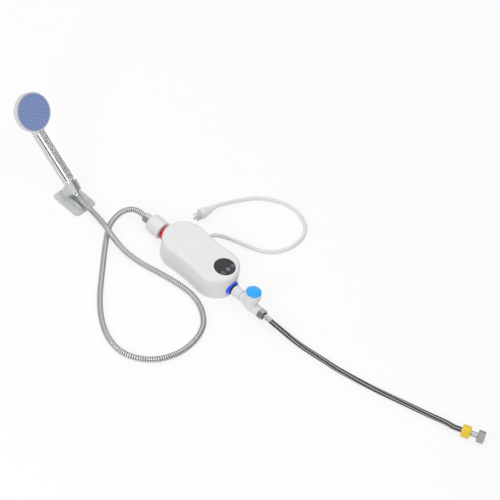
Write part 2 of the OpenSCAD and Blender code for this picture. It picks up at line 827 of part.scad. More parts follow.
module terminal_block() {
    color([0.9, 0.9, 0.88]) difference() {
        translate([gland_x - block_half, block_y - 6, block_z]) cube([2 * block_half, 12, 14]);
        for (dx = [-9, 0, 9])
            translate([gland_x + dx, block_y, block_z + 8]) cylinder(r = 2.2, h = 8);
    }
}

module cord_gland() {
    color(white) {
        at_gland(gland_in) cylinder(r = gland_r + 2, h = 3);
        at_gland(gland_in + 2) cylinder(r = gland_r, h = gland_face + 1 - gland_in - 2);
        intersection() {
            at_gland(gland_face - 2) cylinder(r = gland_r + 1.6, h = 5.5);
            translate([0, waist_y, 0]) cylinder(r = waist_r - fit, h = body_h);
        }
        at_gland(gland_face + 1) cylinder(r1 = gland_r + 0.4, r2 = cord_d / 2 + 1, h = relief_l - 1);
    }
}

module cord_cores() {
    from = block_y + 6;
    color([0.15, 0.35, 0.20]) for (dx = [-5, 0, 5])
        translate([dx, 0, 0]) at_gland(from) cylinder(r = 1.3, h = gland_in - from);
}

// brass stub with the flange that bears on the inside of the housing
module stub(from, end) {
    difference() {
        union() {
            translate([0, 0, from]) cylinder(r = thread_r, h = end - from);
            translate([0, 0, stub_flange_d - stub_flange_t]) cylinder(r = stub_flange_r, h = stub_flange_t);
        }
        translate([0, 0, from - 1]) cylinder(d = stub_bore, h = end - from + 2);
    }
}

module inlet_stub() {
    color(brass) {
        at_inlet(0) stub(sensor_b + fit, inlet_end);
        at_inlet(sensor_b - 6) pipe(sensor_bore - fit, stub_bore / 2, 6.5);
    }
}

module outlet_stub() {
    color(brass) at_outlet(0) stub(-tank_a + 1.5 + fit, outlet_end);
}

module inlet_collar() {
    color([0.16, 0.36, 1.0]) difference() {
        at_inlet(end_x) pipe(collar_d / 2, thread_r + 0.15, end_r + inlet_collar_l);
        translate([end_x, 0, -1]) cylinder(r = end_r + fit, h = body_h + 2);
    }
}

module outlet_collar() {
    color([0.86, 0.10, 0.16]) difference() {
        at_outlet(end_x) pipe(collar_d / 2, thread_r + 0.15, end_r + outlet_collar_l);
        translate([-end_x, 0, -1]) cylinder(r = end_r + fit, h = body_h + 2);
    }
}

module port_gaskets() {
    color(black) {
        at_inlet(body_l / 2 + inlet_collar_l) pipe(gasket_d / 2, thread_r + 0.15, inlet_gasket_l);
        at_outlet(body_l / 2 + outlet_collar_l) pipe(gasket_d / 2, thread_r + 0.15, outlet_gasket_l);
    }
}

module union_nut() {
    flat_r = union_d / 2 * 0.955;
    color(white) at_outlet(union_a) difference() {
        union() {
            intersection() {
                cylinder(r = flat_r / cos(22.5), h = union_l, $fn = 8);
                chamfered(union_d / 2, union_l, 2.5);
            }
            cylinder(r = thread_r, h = union_l + male_l);
        }
        translate([0, 0, -1]) cylinder(r = thread_r + run, h = union_thread + washer_t + 1);
        cylinder(d = stub_bore, h = union_l + male_l + 1);
    }
}

// rubber washers of the five screwed joints
module pipe_washers() {
    t = washer_t - 2 * fit;
    color(black) {
        at_outlet(outlet_end + fit) pipe(washer_r, stub_bore / 2, t);
        at_outlet(hose_flange - washer_t + fit) pipe(washer_r, hose_bore / 2, t);
        at_inlet(inlet_end + fit) pipe(washer_r, way_d / 2, t);
        at_supply(supply_flange - washer_t + fit) pipe(washer_r, way_d / 2, t);
        at_far(end_flange + flange_t + fit) pipe(washer_r, way_d / 2, t);
    }
}

module hose_nut() {
    color(chrome) at_outlet(hose_nut_a)
        swivel_nut(nut_af, nut_l, hose_flange - hose_nut_a, hose_d / 2 + free);
}

module hose_tail() {
    color(steel) {
        at_outlet(hose_flange) pipe(flange_r, hose_bore / 2, flange_t);
        at_outlet(hose_flange + 1) pipe(hose_d / 2, hose_bore / 2, hose_a - hose_flange - 1);
    }
}

module shower_hose() {
    t = shower_table;
    count = 2 * rib_count + 1;
    stations = [for (i = [0:count - 1]) total(t) * i / (count - 1)];
    radii = [for (i = [0:count - 1]) hose_d / 2 - (i % 2 == 1 ? rib_depth : 0)];
    color([0.74, 0.74, 0.74]) hollow_tube(t, stations, radii, hose_bore / 2, ceil(total(t) / hose_d), 8);
}

module cone_tail() {
    length = cone_tail_end - spigot_l - washer_t;
    color(steel) at_hand(-cone_tail_end) difference() {
        union() {
            cylinder(r = hose_d / 2, h = length - 1);
            translate([0, 0, length - flange_t]) cylinder(r = cone_flange_r, h = flange_t);
        }
        translate([0, 0, -1]) cylinder(d = hose_bore, h = length + 2);
    }
}

module cone_washer() {
    color(black) at_hand(-spigot_l - washer_t + fit) pipe(washer_r, hose_bore / 2, washer_t - 2 * fit);
}

module cone_nut() {
    color(chrome) at_hand(-cone_l) difference() {
        cylinder(d1 = cone_end_d, d2 = cone_d, h = cone_l);
        translate([0, 0, -1]) cylinder(r = hose_d / 2 + fit, h = cone_l);
        translate([0, 0, cone_seat - flange_t]) cylinder(r = cone_flange_r + 0.3, h = cone_l);
        translate([0, 0, cone_seat]) cylinder(r = thread_r + run, h = cone_l);
    }
}

module handle_section(inset) {
    r = handle_r - inset;
    translate([handle_front, 0]) circle(r);
    translate([handle_back, 0]) circle(r);
    translate([handle_back, -r]) square([handle_front - handle_back, 2 * r]);
}

// shell round the front of the handle with a round upper end
module cover_blank(grow) {
    w = cover_end_r + grow;
    x = 40 * cos(cover_wrap);
    y = 40 * sin(cover_wrap);
    intersection() {
        translate([handle_front, 0, 0]) pipe(cover_out + grow, cover_in - grow, cover_a + cover_l + 10);
        translate([handle_front - grow / sin(cover_wrap), 0, -1]) linear_extrude(cover_a + cover_l + 20)
            polygon([[0, 0], [x, -y], [40, -y], [40, y], [x, y]]);
        rotate([90, 0, 90]) linear_extrude(2 * handle_t) {
            translate([-w, cover_a - grow]) square([2 * w, cover_l - cover_end_r + grow]);
            translate([0, cover_a + cover_l - cover_end_r]) circle(w);
        }
    }
}

module head_cup() {
    intersection() {
        translate([0, 0, -head_t]) cylinder(r = cup_r, h = head_t);
        translate([0, 0, dome_r - head_t]) sphere(dome_r, $fn = 128);
    }
}

module handset_body() {
    color(white) difference() {
        union() {
            at_hand(-spigot_l) cylinder(r = thread_r, h = spigot_l + 1);
            at_hand(0.3) linear_extrude(handle_l - 0.3) handle_section(0);
            hull() {
                at_hand(handle_l - 2) linear_extrude(1) handle_section(0.15, $fn = 32);
                at_face(-head_t + 4) translate([14, 0, 0]) cylinder(r = 20, h = 8, $fn = 32);
            }
            at_face(0) head_cup();
        }
        at_hand(-spigot_l - 1) cylinder(d = spigot_bore, h = bore_from + spigot_l + 1);
        at_hand(bore_from - 1) rotate([0, atan2(bore_to[0], bore_to[1] - bore_from), 0])
            cylinder(d = spigot_bore - 1, h = norm([bore_to[0], bore_to[1] - bore_from]));
        at_face(mat_z - chamber_t) cylinder(r = chamber_r, h = head_t);
        at_face(mat_z - fit) cylinder(r = cup_in, h = head_t);
        at_hand(0) cover_blank(fit);
    }
}

module handle_cover() {
    color(chrome) at_hand(0) difference() {
        cover_blank(0);
        for (i = [0:flutes - 1])
            translate([handle_front, 0, 0]) rotate([0, 0, (i - (flutes - 1) / 2) * flute_step])
                translate([cover_out + 0.4, 0, -1]) cylinder(r = 1.1, h = cover_l + 10);
    }
}

// nozzle places: one in the middle and rings of six times the ring number
function nozzles() =
    concat([[0, 0]], [for (i = [1:nozzle_rings]) for (k = [0:6 * i - 1])
        i * nozzle_step * [cos(60 * k / i), sin(60 * k / i)]]);

module spray_plate() {
    color([0.47, 0.55, 0.72]) at_face(-plate_in - plate_t) difference() {
        chamfered(face_r, plate_t, 0.5);
        for (p = nozzles()) translate([p[0], p[1], -1]) cylinder(r = nozzle_r + 0.15, h = plate_t + 2);
    }
}

// soft mat whose edge seals the plate
module nozzle_mat() {
    color([0.30, 0.34, 0.45]) at_face(mat_z) {
        cylinder(r = face_r, h = mat_t - fit);
        for (p = nozzles())
            translate([p[0], p[1], 0]) cylinder(r = nozzle_r, h = mat_t + plate_t + nozzle_rise);
    }
}

module adhesive_pad() {
    color([0.85, 0.87, 0.88]) translate([holder_x, holder_y, 0])
        rounded_plate(sheet_l, sheet_w, sheet_r, pad_t);
}

module holder_sheet() {
    color([0.78, 0.79, 0.80]) translate([0, 0, sheet_z]) difference() {
        union() {
            translate([holder_x, holder_y, 0]) rounded_plate(sheet_l, sheet_w, sheet_r, sheet_t);
            translate([holder_screw_x, holder_y, 0]) cylinder(r = 4, h = sheet_t + 2.4);
        }
        translate([holder_screw_x, holder_y, sheet_t - 1.2]) cylinder(r = 1.5 + fit, h = 10);
    }
}

module holder_block() {
    outline = [[cradle_top_low[0] - 3, block_bottom + 1], [cradle_top_low[0], cradle_top_low[2]],
        [cradle_top[0], cradle_top[2]], [cradle_end[0], cradle_end[2]],
        [cradle_end_low[0], cradle_end_low[2]], [channel_x, block_bottom + 1]];
    color([0.78, 0.79, 0.80]) difference() {
        union() {
            difference() {
                translate([holder_x, holder_y, block_bottom])
                    rounded_plate(block_l, block_w, block_w / 2 - 0.5, block_h);
                translate([channel_x, holder_y - channel_w / 2, channel_z])
                    cube([block_l, channel_w, block_h]);
            }
            translate([0, holder_y + pedestal_w / 2, 0]) rotate([90, 0, 0])
                linear_extrude(pedestal_w) polygon(outline);
            at_hand(-cradle_b) cylinder(r1 = cradle_r - 2, r2 = cradle_r, h = cradle_l);
        }
        at_hand(-cone_l) cylinder(r1 = cone_end_d / 2 + free, r2 = cone_d / 2 + free, h = cone_l);
        at_hand(-cone_l - 16) cylinder(r = hose_d / 2 + 1, h = 17);
        at_hand(-3) cylinder(r = handle_t / 2 + 2, h = 40);
        at_hand(-cradle_b - 4) rotate([0, 0, slot_turn]) translate([0, -cradle_slot / 2, 0])
            cube([40, cradle_slot, cradle_l + 6]);
        translate([holder_screw_x, holder_y, block_bottom - 1]) cylinder(r = 4 + fit, h = 3.4 + fit);
        translate([holder_screw_x, holder_y, 0]) cylinder(r = 1.7, h = 30);
    }
}

module holder_screw() {
    color(steel) translate([holder_screw_x, holder_y, 0]) difference() {
        union() {
            translate([0, 0, channel_z]) cylinder(r = 3.2, h = 2);
            translate([0, 0, sheet_z + sheet_t - 1]) cylinder(r = 1.5, h = channel_z - sheet_z - sheet_t + 2);
        }
        translate([0, 0, channel_z + 1]) cylinder(r = 1.4, h = 2, $fn = 6);
    }
}

module valve_nut() {
    color(white) at_inlet(valve_nut_a) difference() {
        chamfered(valve_nut_d / 2, valve_nut_l, 1.2);
        translate([0, 0, -1]) cylinder(r = thread_r + run, h = union_thread + washer_t + flange_t + 0.3 + 1);
        cylinder(r = tail_r + free, h = valve_nut_l + 1);
        for (a = [0:30:330])
            rotate([0, 0, a]) translate([valve_nut_d / 2 + 0.5, 0, 5]) cylinder(r = 1, h = valve_nut_l - 10);
    }
}

module valve_tail() {
    color([0.85, 0.85, 0.84]) {
        at_inlet(tail_flange) pipe(flange_r, way_d / 2, flange_t);
        at_inlet(tail_flange + 1) pipe(tail_r, way_d / 2, valve_a + tail_l - tail_flange - 1);
    }
}

module valve_body() {
    color(white) difference() {
        union() {
            at_inlet(valve_a) cylinder(r1 = tail_r + 3.6, r2 = tail_r + 6, h = valve_x - valve_a);
            translate([valve_x, 0, port_z]) sphere(bulb_d / 2);
            at_supply(valve_x) cylinder(d = leg_d, h = leg_l);
            at_supply(valve_x) cylinder(r = thread_r, h = leg_l + supply_male);
            translate([valve_x, 0, port_z]) cylinder(r = bonnet_r, h = bonnet_top - port_z);
        }
        at_inlet(valve_a - 1) cylinder(r = tail_r + fit, h = tail_l + 1 + fit);
        at_inlet(valve_a) cylinder(d = way_d, h = valve_x - valve_a);
        at_supply(valve_x + plug_r - 1) cylinder(d = way_d, h = leg_l + supply_male);
        translate([valve_x, 0, plug_bottom - fit]) cylinder(r = plug_r + run, h = body_h);
    }
}

module valve_spindle() {
    color(brass) difference() {
        translate([valve_x, 0, 0]) {
            translate([0, 0, plug_bottom]) cylinder(r = plug_r, h = plug_top - plug_bottom);
            translate([0, 0, plug_top - 1]) cylinder(r = stem_r, h = stem_top - plug_top + 1);
        }
        at_inlet(valve_x - plug_d) cylinder(d = way_d, h = 2 * plug_d);
        translate([valve_x, 0, stem_top - 9]) cylinder(r = 1.5 + fit, h = 10);
    }
}

module valve_seal() {
    color(black) translate([valve_x, 0, seal_a]) pipe(plug_r, stem_r + free, seal_t);
}

module valve_bonnet() {
    color(white) translate([valve_x, 0, seal_a + seal_t])
        pipe(plug_r, stem_r + free, bonnet_top - seal_a - seal_t);
}

module valve_knob() {
    color(white) translate([valve_x, 0, 0]) difference() {
        translate([0, 0, knob_a]) chamfered(knob_d / 2, knob_h, 1.5);
        translate([0, 0, knob_a - 1]) pipe(knob_d / 2 - 2.5, stem_r + 3, knob_h - 8);
        translate([0, 0, knob_a - 1]) cylinder(r = stem_r + fit, h = stem_top - knob_a + 1);
        translate([0, 0, knob_a]) cylinder(r = 1.7, h = knob_h);
        translate([0, 0, stem_top + 2]) cylinder(r = 3.4, h = knob_h);
        translate([0, 0, knob_b - 1.5]) cylinder(d = cap_d + 0.2, h = 4);
    }
}

module knob_cap() {
    rise = 2;
    dome = (cap_d * cap_d / 4 + rise * rise) / (2 * rise);
    color([0.16, 0.62, 1.0]) translate([valve_x, 0, knob_b - 1.5]) {
        cylinder(d = cap_d, h = 2);
        intersection() {
            translate([0, 0, 2]) cylinder(d = cap_d, h = rise);
            translate([0, 0, 2 + rise - dome]) sphere(dome, $fn = 128);
        }
    }
}

module knob_screw() {
    color(steel) translate([valve_x, 0, stem_top]) difference() {
        union() {
            translate([0, 0, -7]) cylinder(r = 1.5, h = 10);
            translate([0, 0, 2]) cylinder(r = 3.1, h = 2.4);
        }
        translate([0, 0, 3.2]) cylinder(r = 1.4, h = 2, $fn = 6);
    }
}

module supply_nut() {
    color(steel) at_supply(supply_nut_a)
        swivel_nut(nut_af, supply_nut_l, supply_flange - supply_nut_a, supply_neck_r + free);
}

module supply_ferrule() {
    bore = supply_bore / 2 - 1;
    color(steel) {
        at_supply(supply_flange) pipe(flange_r, bore, flange_t);
        at_supply(supply_flange + 1) pipe(supply_neck_r, bore, supply_a - ferrule_l - supply_flange);
        at_supply(supply_a - ferrule_l) difference() {
            cylinder(r1 = supply_neck_r + 0.3, r2 = supply_d / 2 + 0.5, h = ferrule_l);
            translate([0, 0, -1]) cylinder(r = bore, h = ferrule_l + 2);
        }
    }
}

module nut_ring() {
    color([0.45, 0.06, 0.06]) at_supply(supply_nut_b + free)
        pipe(flange_r - 1.9, supply_neck_r + fit, red_ring_t);
}

module supply_hose() {
    t = tables(supply_line);
    count = 30;
    stations = [for (i = [0:count - 1]) total(t) * i / (count - 1)];
    radii = [for (s = stations) supply_d / 2];
    color([0.12, 0.12, 0.13]) hollow_tube(t, stations, radii, supply_bore / 2, count, 10);
}

module supply_grip() {
    color([0.94, 0.80, 0.12]) at_far(grip_a) difference() {
        intersection() {
            cylinder(d = grip_d * 1.06, h = grip_l, $fn = 6);
            chamfered(grip_d / 2, grip_l, 2);
        }
        translate([0, 0, -1]) cylinder(r = far_sleeve_r + run, h = grip_l + 2);
    }
}

module far_ferrule() {
    bore = supply_bore / 2 - 1;
    shoulder = grip_a + grip_l + 2;
    neck = end_a - free;
    color(steel) difference() {
        union() {
            at_far(0) cylinder(r = far_sleeve_r, h = shoulder);
            at_far(0) cylinder(r = far_sleeve_r - 0.3, h = neck);
            at_far(0) cylinder(r = supply_neck_r, h = end_flange + 1);
            at_far(end_flange) cylinder(r = flange_r, h = flange_t);
        }
        at_far(-1) cylinder(r = bore, h = end_flange + flange_t + 2);
    }
}

module end_nut() {
    color(steel) at_far(end_a) difference() {
        hexagon(end_af, end_l);
        translate([0, 0, end_wall]) cylinder(r = washer_r + 0.35, h = end_l);
        translate([0, 0, end_flange + flange_t + washer_t - end_a]) cylinder(r = thread_r + run, h = end_l);
        translate([0, 0, -1]) cylinder(r = supply_neck_r + free, h = end_l);
    }
}

module power_cord() {
    color([0.88, 0.88, 0.88]) solid_tube(tables(power_line), cord_d / 2, 36, 10);
}

module plug_body() {
    r = plug_body_d / 2;
    color(white) at_plug(-plug_l) difference() {
        rotate_extrude() polygon([[0, 0], [plug_tail_r, 0], [plug_tail_r + 0.8, plug_l * 0.22],
            [r * 0.64, plug_l * 0.36], [r * 0.76, plug_l * 0.5], [r * 0.8, plug_l * 0.66], [r, plug_l * 0.7],
            [r, plug_l - 1], [r - 1, plug_l], [0, plug_l]]);
        translate([earth_out, 0, plug_l - blade_in]) cylinder(r = earth_root_r + fit, h = blade_in + 1);
        for (side = [-1, 1])
            translate([blade_out, side * blade_gap / 2, plug_l - blade_in / 2 + 0.5])
                cube([blade_w + 2 * fit, blade_t + 2 * fit, blade_in + 1], center = true);
    }
}

module plug_pins() {
    color(steel) at_plug(-blade_in) {
        translate([earth_out, 0, 0]) {
            cylinder(r = earth_root_r, h = blade_in + 1);
            translate([0, 0, blade_in + fit]) cylinder(d = earth_d, h = blade_l + 1);
            translate([0, 0, blade_in + fit + blade_l + 1]) sphere(d = earth_d);
        }
        for (side = [-1, 1])
            translate([blade_out - blade_w / 2, side * blade_gap / 2 - blade_t / 2, 0])
                cube([blade_w, blade_t, blade_in + blade_l]);
    }
}

upper_shell();
base_shell();
shell_seal();
case_screws();
display_lens();
display_board();
heating_tank();
outlet_cap();
inlet_cap();
tank_orings();
heating_element();
thermal_cutout();
temperature_probe();
flow_sensor();
flow_rotor();
control_board();
power_relays();
terminal_block();
cord_gland();
cord_cores();
inlet_stub();
inlet_collar();
outlet_stub();
outlet_collar();
port_gaskets();
union_nut();
pipe_washers();
hose_nut();
hose_tail();
shower_hose();
cone_tail();
cone_washer();
cone_nut();
handset_body();
handle_cover();
spray_plate();
nozzle_mat();
adhesive_pad();
holder_sheet();
holder_block();
holder_screw();
valve_nut();
valve_tail();
valve_body();
valve_spindle();
valve_seal();
valve_bonnet();
valve_knob();
knob_cap();
knob_screw();
supply_nut();
nut_ring();
supply_ferrule();
supply_hose();
supply_grip();
far_ferrule();
end_nut();
power_cord();
plug_body();
plug_pins();
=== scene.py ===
"""Looks of a tankless electric water heater kit, laid out as an add-on.

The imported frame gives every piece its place. The surfaces here are worked out as whole
arrays on grids of two parameters, in metres, in the frame's own axes.
"""

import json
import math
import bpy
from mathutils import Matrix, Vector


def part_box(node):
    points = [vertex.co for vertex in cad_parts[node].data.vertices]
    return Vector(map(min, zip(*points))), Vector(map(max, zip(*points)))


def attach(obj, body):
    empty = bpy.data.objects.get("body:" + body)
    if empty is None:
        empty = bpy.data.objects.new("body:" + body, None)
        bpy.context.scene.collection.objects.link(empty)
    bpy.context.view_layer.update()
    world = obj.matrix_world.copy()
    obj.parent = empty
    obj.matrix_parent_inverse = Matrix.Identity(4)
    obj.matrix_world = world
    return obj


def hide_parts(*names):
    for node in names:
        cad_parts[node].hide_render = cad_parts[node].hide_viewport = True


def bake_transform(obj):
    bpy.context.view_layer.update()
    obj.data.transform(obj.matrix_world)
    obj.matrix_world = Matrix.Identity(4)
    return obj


bl_info = {
    "name": "Water heater kit",
    "version": (1, 0, 0),
    "blender": (4, 5, 0),
    "location": "View3D > Sidebar > Heater kit",
    "description": "Surfaces, finishes and studio of a tankless water heater kit",
    "category": "Object",
}

import bmesh
import bpy
import numpy as np
from bpy.props import FloatProperty, FloatVectorProperty, IntProperty, PointerProperty
from mathutils import Matrix, Vector

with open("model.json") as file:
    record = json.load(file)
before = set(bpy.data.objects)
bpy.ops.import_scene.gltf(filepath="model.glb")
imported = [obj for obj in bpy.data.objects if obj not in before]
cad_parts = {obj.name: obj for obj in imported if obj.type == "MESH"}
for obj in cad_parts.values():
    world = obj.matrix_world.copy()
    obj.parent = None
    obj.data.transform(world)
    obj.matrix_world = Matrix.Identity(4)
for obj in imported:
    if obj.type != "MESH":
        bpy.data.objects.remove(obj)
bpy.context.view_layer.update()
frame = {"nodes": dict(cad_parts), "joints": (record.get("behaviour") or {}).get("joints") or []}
NODES = frame["nodes"]
JOINTS = {joint["name"]: joint for joint in frame["joints"]}
MM = 0.001

PORT_Z = JOINTS["union_turn"]["pos_m"][2]
SUPPLY_Z = JOINTS["supply_nut_turn"]["pos_m"][2]
HAND_AT = np.array(JOINTS["handset_turn"]["pos_m"])
HAND_DIR = np.array(JOINTS["handset_turn"]["axis"])
FAR_DIR = np.array(JOINTS["end_nut_turn"]["axis"])
CONE_L = 34.0 * MM
CONE_TAIL_OUT = CONE_L + 0.2 * MM
END_TURN_OUT = 45.0 * MM
FAR_AT = np.array(JOINTS["end_nut_turn"]["pos_m"]) - END_TURN_OUT * FAR_DIR
PLUG_TURN = math.radians(262.5)
PLUG_DIR = np.array([math.cos(PLUG_TURN), math.sin(PLUG_TURN), 0.0])
PLUG_AT = MM * np.array([-106.0, 114.0, 13.0])
PLUG_L = 45.0 * MM
HOSE_BORE_STEP = 12.0 * MM
X_AXIS = np.array([1.0, 0.0, 0.0])
Y_AXIS = np.array([0.0, 1.0, 0.0])
Z_AXIS = np.array([0.0, 0.0, 1.0])

# routes of the hoses and the cord between their fixed ends, as the frame's solids follow them
SHOWER_POINTS = MM * np.array([
    (-212, -6, 25), (-225, -23, 21), (-228, -43, 15.5), (-225, -62, 10), (-217, -79, 7.8),
    (-201, -101, 7.3), (-172, -136, 7.3), (-133, -180, 7.3), (-88, -230, 7.3), (-42, -271, 7.3),
    (7, -299, 7.3), (54, -307, 7.3), (95, -293, 7.3), (128, -260, 7.3), (146, -214, 7.3),
    (146, -163, 7.3), (129, -118, 7.3), (96, -88, 7.3), (54, -73, 7.3), (8, -74, 7.3),
    (-44, -84, 7.3), (-95, -96, 8), (-140, -101, 12), (-180, -98, 18), (-215, -91, 22.4),
    (-250, -83, 20), (-285, -77, 17),
])
POWER_POINTS = MM * np.array([
    (-34, 90, 18.5), (-25, 102, 15), (-13, 113, 10), (2, 123, 6), (28, 133, 5), (58, 145, 5),
    (80, 163, 5), (95, 188, 5), (102, 217, 5), (100, 250, 5), (86, 279, 5), (61, 298, 5),
    (30, 306, 5), (-3, 301, 5), (-33, 285, 5), (-59, 261, 5), (-78, 228, 6), (-90, 194, 10),
])
SUPPLY_POINTS = MM * np.array([
    (266, 3, 16.5), (288, 6.6, 11), (312, 10.3, 7.3), (340, 14.2, 6.6), (380, 20, 6.6),
    (420, 26.2, 6.6), (500, 45.3, 6.6), (580, 69.9, 6.6), (630, 85.2, 6.8), (668, 95, 10.5),
])


# sizes and colours that a user would change


def length_value(name, description, metres):
    return FloatProperty(
        name=name, description=description, default=metres, min=0.0, unit="LENGTH", precision=5
    )


def angle_value(name, description, degrees):
    return FloatProperty(
        name=name, description=description, default=math.radians(degrees), subtype="ANGLE"
    )


def colour_value(name, description, rgb):
    return FloatVectorProperty(
        name=name, description=description, default=rgb, size=3, min=0.0, max=1.0, subtype="COLOR"
    )


class KitHoseSizes(bpy.types.PropertyGroup):
    """Sizes of the hoses and the power cord"""

    shower_d: length_value("Shower hose", "Outside diameter of the shower hose", 0.014)
    shower_bore: length_value("Shower hose bore", "Bore of the shower hose", 0.008)
    rib_pitch: length_value("Rib pitch", "Distance between the ribs of the shower hose", 0.0052)
    rib_depth: length_value("Rib depth", "Depth of the seam between two ribs", 0.0008)
    supply_d: length_value("Supply hose", "Outside diameter of the braided hose", 0.0127)
    supply_bore: length_value("Supply hose bore", "Bore of the braided hose", 0.008)
    braid_lead: length_value("Braid lead", "Length in which a braid strand goes once round", 0.056)
    braid_depth: length_value("Braid depth", "Height of the braid strands", 0.00045)
    braid_strands: IntProperty(
        name="Braid strands", description="Strands that wind each way", default=14, min=6, max=32
    )
    cord_d: length_value("Power cord", "Diameter of the power cord", 0.0095)


class KitFittingSizes(bpy.types.PropertyGroup):
    """Sizes of the nuts, collars, valve, plug and cone"""

    thread_r: length_value("Thread", "Radius of the half-inch thread", 0.01045)
    turn_gap: length_value("Running gap", "Gap between a nut and its thread", 0.00005)
    union_d: length_value("Hand nut", "Diameter of the hand nut over its corners", 0.0474)
    union_step: length_value("Hand nut step", "Length of the step at the hose end", 0.0035)
    union_male: length_value("Hand nut thread", "Length of the thread for the hose", 0.010)
    union_seat: length_value("Hand nut seat", "Depth of the hand nut's thread", 0.015)
    water_bore: length_value("Water way", "Radius of the water way in the hand nut", 0.0065)
    hose_af: length_value("Hose nuts", "Width across flats of the hose nuts", 0.024)
    end_af: length_value("End nut", "Width across flats of the end nut", 0.025)
    grip_d: length_value("Grip", "Diameter of the grip over its corners", 0.0295)
    grip_start: length_value("Grip start", "Far end of the hose to the grip", 0.0006)
    end_start: length_value("End nut start", "Far end of the hose to the end nut", 0.037)
    collar_d: length_value("Collars", "Diameter of the coloured collars", 0.036)
    end_r: length_value("Housing end", "Radius of the housing's round ends", 0.053)
    leg_r: length_value("Valve leg", "Radius of the valve's leg", 0.0118)
    bulb_r: length_value("Valve bulb", "Radius of the valve's round body", 0.0157)
    bonnet_r: length_value("Valve bonnet", "Radius of the neck under the knob", 0.0145)
    plug_r: length_value("Valve plug", "Radius of the plug in the valve", 0.0085)
    cord_plug_r: length_value("Plug", "Largest radius of the cord's plug", 0.0128)
    cone_r: length_value("Cone nut", "Radius of the cone nut at its wide end", 0.013)
    cone_end_r: length_value("Cone nut end", "Radius of the cone nut at the hose", 0.00875)


class KitColours(bpy.types.PropertyGroup):
    """Base colours of the finishes"""

    white: colour_value("White moulding", "Housing, valve, union and plug", (0.80, 0.80, 0.80))
    cord: colour_value("Cord jacket", "Soft jacket of the power cord", (0.77, 0.77, 0.77))
    steel: colour_value("Steel", "Ferrules, tails and the bright hose nut", (0.60, 0.61, 0.64))
    nut: colour_value("Nut steel", "Nickelled hexagon nuts", (0.43, 0.42, 0.415))
    pins: colour_value("Plug pins", "Polished pins of the plug", (0.90, 0.90, 0.89))
    hose: colour_value("Hose steel", "Strip of the shower hose", (0.68, 0.68, 0.69))
    chrome: colour_value("Chrome", "Handle cover", (0.38, 0.385, 0.395))
    # painted shade: the hand shower's body is the same white moulding as the housing, set darker to stand in
    # for the shade on its sides
    handset: colour_value("Hand shower", "Body of the hand shower", (0.70, 0.70, 0.705))
    cone: colour_value("Cone nut", "Polished cone nut", (0.88, 0.885, 0.90))
    spray: colour_value("Spray plate", "Face of the hand shower", (0.225, 0.306, 0.565))
    nozzle: colour_value("Nozzles", "Soft nozzles of the face", (0.20, 0.272, 0.52))
    clear: colour_value("Clear plastic", "Adhesive holder", (0.74, 0.76, 0.77))
    red: colour_value("Hot collar", "Collar of the hot outlet", (0.58, 0.008, 0.014))
    blue: colour_value("Cold collar", "Collar of the cold inlet", (0.015, 0.10, 1.0))
    cap: colour_value("Knob cap", "Cap of the flow knob", (0.0, 0.40, 1.0))
    yellow: colour_value("Grip", "Hand grip of the supply hose", (0.87, 0.61, 0.015))
    black: colour_value("Rubber", "Gaskets and washers", (0.012, 0.012, 0.013))
    # painted shade darkens both braid colours in the weave's hollows, and the light threads' stripes are in
    # part painted highlight
    braid: colour_value("Braid", "Dark threads of the braided hose", (0.012, 0.012, 0.014))
    thread: colour_value("Braid thread", "Light threads of the braided hose", (0.50, 0.50, 0.51))
    lens: colour_value("Display lens", "Smoked display lens", (0.027, 0.026, 0.035))
    mark: colour_value("Touch marks", "Printed touch marks", (0.29, 0.29, 0.32))
    brass: colour_value("Brass", "Stubs and spindle", (0.72, 0.53, 0.26))
    board: colour_value("Circuit board", "Solder resist of the boards", (0.03, 0.16, 0.07))
    natural: colour_value("Natural moulding", "Tank caps, rotor and terminals", (0.74, 0.73, 0.68))
    relay: colour_value("Relay case", "Cases of the power relays", (0.03, 0.09, 0.30))
    ring: colour_value("Nut ring", "Dark red ring at the supply nut", (0.13, 0.012, 0.012))


class KitStudio(bpy.types.PropertyGroup):
    """Camera and floor"""

    target: FloatVectorProperty(
        name="Target", description="Point that the camera looks at",
        default=(0.0410, 0.1338, 0.0), size=3, subtype="TRANSLATION", unit="LENGTH",
    )
    azimuth: angle_value("Azimuth", "Turn of the camera round the object", 34.0)
    elevation: angle_value("Elevation", "Camera's angle above the floor", 48.7)
    roll: angle_value("Roll", "Turn of the camera about its own view", 12.0)
    distance: length_value("Distance", "Camera to target", 3.995)
    lens: FloatProperty(name="Lens", description="Focal length, in millimetres", default=122.4)
    floor_colour: colour_value("Floor", "Pale floor", (0.90, 0.90, 0.90))
    floor_size: length_value("Floor size", "Side of the floor", 60.0)


# arrays, grids and meshes


def unit(v):
    """Vectors divided by their own lengths."""
    v = np.asarray(v, float)
    return v / np.linalg.norm(v, axis=-1, keepdims=True)


def smooth(x, low, high):
    """Eased step: 0 below low, 1 above high."""
    t = np.clip((np.asarray(x, float) - low) / (high - low), 0.0, 1.0)
    return t * t * (3.0 - 2.0 * t)


def local_frame(origin, along, across):
    """Frame whose z runs along one direction and whose x points across it: (origin, axes as rows)."""
    z = unit(along)
    y = unit(np.cross(z, across))
    return np.asarray(origin, float), np.stack([np.cross(y, z), y, z])


def placed(points, place):
    """Local points in the object's frame."""
    origin, axes = place
    return points @ axes + origin


def grid_quads(rows, columns, wrap_rows, wrap_columns):
    """Corner numbers of a grid's quads, and the same corners on a grid one wider each way, for UVs."""
    i = np.arange(rows if wrap_rows else rows - 1)[:, None]
    j = np.arange(columns if wrap_columns else columns - 1)[None, :]
    steps = [(0, 0), (0, 1), (1, 1), (1, 0)]
    corners = [((i + a) % rows) * columns + (j + b) % columns for a, b in steps]
    wide = [(i + a) * (columns + 1) + (j + b) for a, b in steps]
    return np.stack(corners, -1).reshape(-1, 4), np.stack(wide, -1).reshape(-1, 4)


